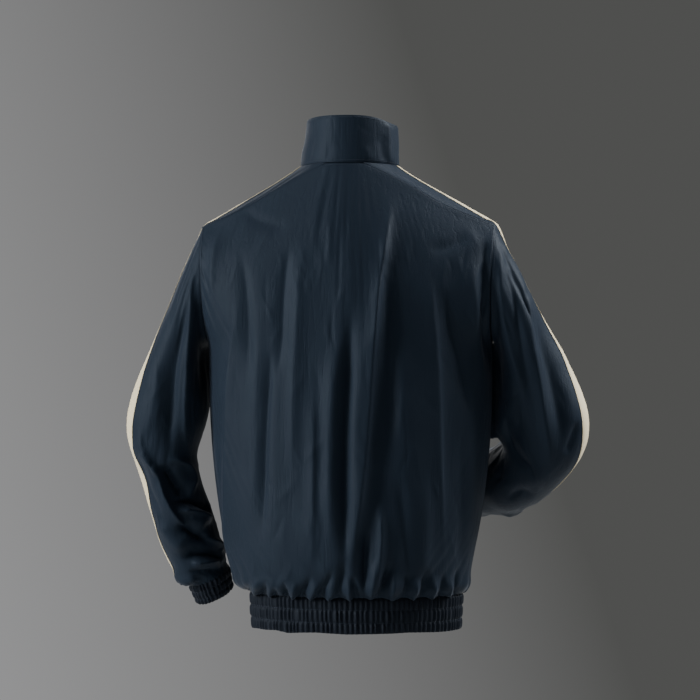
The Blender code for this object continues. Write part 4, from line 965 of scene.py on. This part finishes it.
# ---------------------------------------------------------------- cuffs
# The cuffs are made as the hem band is, as closed tubes.
CUFF_ROWS = 22
CUFF_RIBS = 30
# Each cuff's side, its middle in millimetres, the way its end at the sleeve faces, and its seed.
CUFFS = (("left", (214, -56, -600), (8, 6, 29), 61), ("right", (-130, -177, -463), (-25, 20, 6), 62))
for word, middle, axis, seed in CUFFS:
    skin = outer_skin(f"cuff_{word}", "cuff_skin", splits=0, short=TUBE_EDGE)
    rings = end_rings(skin, np.array(middle) * MM, axis, (1, 0, 0.3))
    bpy.data.objects.remove(skin, do_unlink=True)
    cuff, rows_at = gathered_tube(f"cuff_{word}_cloth", rings, CUFF_RIBS, CUFF_ROWS, True, seed, 2.0 * MM)
    give_wall(cuff, TUBE_WALL)
    cuff.data.materials.append(elastic)
    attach(cuff, "garment")
    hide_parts(f"cuff_{word}")
    sew(f"cuff_{word}_stitches", cuff, rows_at, thread_navy, pitch=3.0 * MM)

# ---------------------------------------------------------------- sleeve tapes
# A woven cream tape is sewn down each shoulder and sleeve, from the collar to the cuff, by a row of stitches
# along each side.
tape_cream = cloth_finish("cream_tape", (0.82, 0.70, 0.45), (0.94, 0.84, 0.60), 900, 0.7, 0.3,
                          0.15 * MM, 0.15 * MM, 0.1)
thread_cream = cloth_finish("cream_thread", (0.70, 0.60, 0.42), (0.86, 0.77, 0.58), 900, 0.6, 0.3,
                            0.02 * MM, 0.05 * MM, 0.1)
TAPE_LIFT = 0.9 * MM        # above the sleeve's skin
TAPE_WALL = 0.6 * MM
TAPE_INSET = 1.8 * MM       # from its sides to the stitches
# How far the tape lies towards the back, at some heights, in millimetres.
LEFT_SHIFT = ((-600, 13), (-450, 13), (-400, 6), (-200, 6), (-130, 2), (0, 2))
RIGHT_SHIFT = ((-600, 6), (-200, 5), (-130, 1), (0, 1))
for word, shift in (("left", LEFT_SHIFT), ("right", RIGHT_SHIFT)):
    shift_heights, shifts = np.transpose(shift) * MM
    tape = outer_skin(f"sleeve_tape_{word}", f"tape_{word}", short=2.2 * MM)
    add_uv(tape, places(tape)[:, [0, 2]])
    steps = np.interp(places(tape)[:, 2], shift_heights, shifts) / 2
    for share in (1, 1, 0):
        laid = []
        for spot, step in zip(places(tape), steps * share):
            near, out, _, _ = sleeve_skins[word].find_nearest(spot)
            near, out = np.array(near), np.array(out)
            back_way = np.array([0, 1, 0]) - out[1] * out
            laid.append(near + out * TAPE_LIFT + step * back_way)
        put(tape, np.array(laid))
    soft = tape.modifiers.new("soft", "SMOOTH")
    soft.factor, soft.iterations = 0.5, 3
    apply_modifiers(tape)
    seams = seam_lines(tape, TAPE_INSET, lambda edge: edge[:, 2] > -1)
    give_wall(tape, TAPE_WALL)
    tape.data.materials.append(tape_cream)
    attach(tape, "garment")
    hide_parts(f"sleeve_tape_{word}")
    sew(f"tape_{word}_stitches", tape, seams, thread_cream, pitch=3.4 * MM, radius=0.22 * MM)

# ---------------------------------------------------------------- zip
# A closed nylon coil zip, sewn between the fronts on two woven tapes: the coil's loops mesh in the middle, and
# a plated slider with a hinged tab stands at its top, and a plated box at its foot.
TOOTH_PITCH = 2.0 * MM      # from one loop to the next on the same side
zip_cloth = cloth_finish("zip_cloth", (0.0085, 0.0110, 0.0165), (0.0150, 0.0185, 0.0260), 1400, 0.7, 0.2,
                         0.12 * MM, 0.1 * MM, 0.1, mapped=False)
for word in ("left", "right"):
    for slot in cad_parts[f"zip_tape_{word}"].material_slots:
        slot.material = zip_cloth

coil = cloth_finish("zip_coil", (0.0080, 0.0095, 0.0140), (0.0140, 0.0160, 0.0220), 3000, 0.38, 0.5,
                    0.02 * MM, 0.02 * MM, 0.0, mapped=False)
strip = bmesh.new()
strip.from_mesh(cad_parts["zip_teeth"].data)
strip_points = np.array([tuple(v.co) for v in strip.verts])
strip.free()
heights = np.unique(np.round(strip_points[:, 2] / MM))
middle = np.array([strip_points[np.round(strip_points[:, 2] / MM) == z].mean(0) for z in heights])
run = np.concatenate([[0], np.cumsum(np.linalg.norm(np.diff(middle, axis=0), axis=1))])
spots, faces = [], []
for number, at in enumerate(np.arange(TOOTH_PITCH / 2, run[-1] - TOOTH_PITCH / 2, TOOTH_PITCH / 2)):
    here, ahead = [np.array([np.interp(v, run, middle[:, k]) for k in range(3)]) for v in (at, at + 1 * MM)]
    up = (ahead - here) / np.linalg.norm(ahead - here)
    out = np.cross((1, 0, 0), up)
    side = 1 if number % 2 else -1
    start = len(spots)
    for across, size in ((-2.0, 0.6), (-1.7, 1.0), (1.3, 1.0), (1.8, 0.6)):
        for turn in np.arange(6) * math.pi / 3:
            spots.append(here + np.array([1.0, 0, 0]) * (across + 0.7) * side * -1 * MM
                         + (up * math.cos(turn) * 0.62 + out * math.sin(turn) * 0.8) * size * MM)
    for ring in range(3):
        for k in range(6):
            n = (k + 1) % 6
            a, b = start + 6 * ring, start + 6 * ring + 6
            faces.append((a + k, a + n, b + n, b + k))
    faces.append(tuple(start + k for k in range(6)))
    faces.append(tuple(start + 18 + k for k in reversed(range(6))))
loops = mesh_piece("zip_loops", spots, faces)
loops_shape = bmesh.new()
loops_shape.from_mesh(loops.data)
bmesh.ops.recalc_face_normals(loops_shape, faces=loops_shape.faces)
loops_shape.to_mesh(loops.data)
loops_shape.free()
loops.data.shade_smooth()
loops.data.materials.append(coil)
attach(loops, "garment")
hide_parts("zip_teeth")

plated = bpy.data.materials.new("dark_nickel")
plated.use_nodes = True
tree = plated.node_tree
shader = tree.nodes["Principled BSDF"]
shader.inputs["Metallic"].default_value = 1.0
where = tree.nodes.new("ShaderNodeTexCoord")
marks = tree.nodes.new("ShaderNodeTexNoise")
marks.inputs["Scale"].default_value = 900.0
marks.inputs["Detail"].default_value = 4.0
tree.links.new(where.outputs["Object"], marks.inputs["Vector"])
tone = tree.nodes.new("ShaderNodeMix")
tone.data_type = "RGBA"
tone.inputs["A"].default_value = (0.15, 0.15, 0.16, 1)
tone.inputs["B"].default_value = (0.26, 0.26, 0.27, 1)
tree.links.new(marks.outputs["Fac"], tone.inputs["Factor"])
tree.links.new(tone.outputs["Result"], shader.inputs["Base Color"])
tree.links.new(math_node(tree, "ADD", math_node(tree, "MULTIPLY", marks.outputs["Fac"], 0.25), 0.18),
               shader.inputs["Roughness"])
for node, body in (("zip_box", "garment"), ("zip_slider", "garment"), ("zip_pull", "pull_tab")):
    solid = bmesh.new()
    solid.from_mesh(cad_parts[node].data)
    bmesh.ops.remove_doubles(solid, verts=solid.verts, dist=0.01 * MM)
    bmesh.ops.dissolve_limit(solid, angle_limit=math.radians(1), verts=solid.verts, edges=solid.edges)
    metal = new_piece(f"{node}_metal", solid)
    worn = metal.modifiers.new("worn", "BEVEL")
    worn.width = 0.25 * MM
    worn.segments = 2
    worn.angle_limit = math.radians(40)
    apply_modifiers(metal)
    metal.data.shade_smooth()
    metal.data.set_sharp_from_angle(angle=math.radians(35))
    metal.data.materials.append(plated)
    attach(metal, body)
    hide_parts(node)

# ---------------------------------------------------------------- floor and light
# A pale round floor below the jacket, a lamp on each side, and two weak ones in front and above.
FLOOR_HEIGHT = -1.45
floor_shape = bmesh.new()
bmesh.ops.create_circle(floor_shape, cap_ends=True, radius=5, segments=96)
floor = new_piece("floor", floor_shape)
floor.location.z = FLOOR_HEIGHT
pale = bpy.data.materials.new("pale_floor")
pale.use_nodes = True
pale.node_tree.nodes["Principled BSDF"].inputs["Base Color"].default_value = (0.45, 0.45, 0.44, 1)
pale.node_tree.nodes["Principled BSDF"].inputs["Roughness"].default_value = 0.8
floor.data.materials.append(pale)


def add_light(name, place, target, size, power):
    """A rectangular lamp that faces a target. The size is in metres and the power in watts."""
    lamp = bpy.data.lights.new(name, "AREA")
    lamp.shape = "RECTANGLE"
    lamp.size, lamp.size_y = size
    lamp.energy = power
    light = bpy.data.objects.new(name, lamp)
    light.location = place
    way = np.array(target) - np.array(place)
    light.rotation_euler = (math.atan2(math.hypot(way[0], way[1]), -way[2]), 0, math.atan2(-way[0], way[1]))
    bpy.context.scene.collection.objects.link(light)


add_light("window", (3.0, 1.5, 0.6), (0, 0, -0.3), (1.2, 2.0), 130)
add_light("rim", (-2.4, -0.7, 1.9), (0, 0, 0), (1.2, 1.6), 190)
add_light("front_fill", (1.6, -3.2, 0.9), (0, 0, -0.3), (2.4, 2.0), 20)
add_light("overhead", (0, 0.4, 2.6), (0, 0, 0), (2.4, 2.0), 10)

# The backdrop is grey, and lighter at the window's side.
world = bpy.data.worlds.new("studio")
world.use_nodes = True
tree = world.node_tree
way = tree.nodes.new("ShaderNodeTexCoord")
side = tree.nodes.new("ShaderNodeVectorMath")
side.operation = "DOT_PRODUCT"
side.inputs[1].default_value = (-math.cos(VIEW_TURN), -math.sin(VIEW_TURN), -0.35)
tree.links.new(way.outputs["Generated"], side.inputs[0])
spread = tree.nodes.new("ShaderNodeMapRange")
spread.inputs["From Min"].default_value = -0.06
spread.inputs["From Max"].default_value = 0.20
tree.links.new(side.outputs["Value"], spread.inputs["Value"])
grey = tree.nodes.new("ShaderNodeMix")
grey.data_type = "RGBA"
grey.inputs["A"].default_value = (0.085, 0.086, 0.083, 1)
grey.inputs["B"].default_value = (0.34, 0.34, 0.345, 1)
tree.links.new(spread.outputs["Result"], grey.inputs["Factor"])
tree.links.new(grey.outputs["Result"], tree.nodes["Background"].inputs["Color"])
bpy.context.scene.world = world
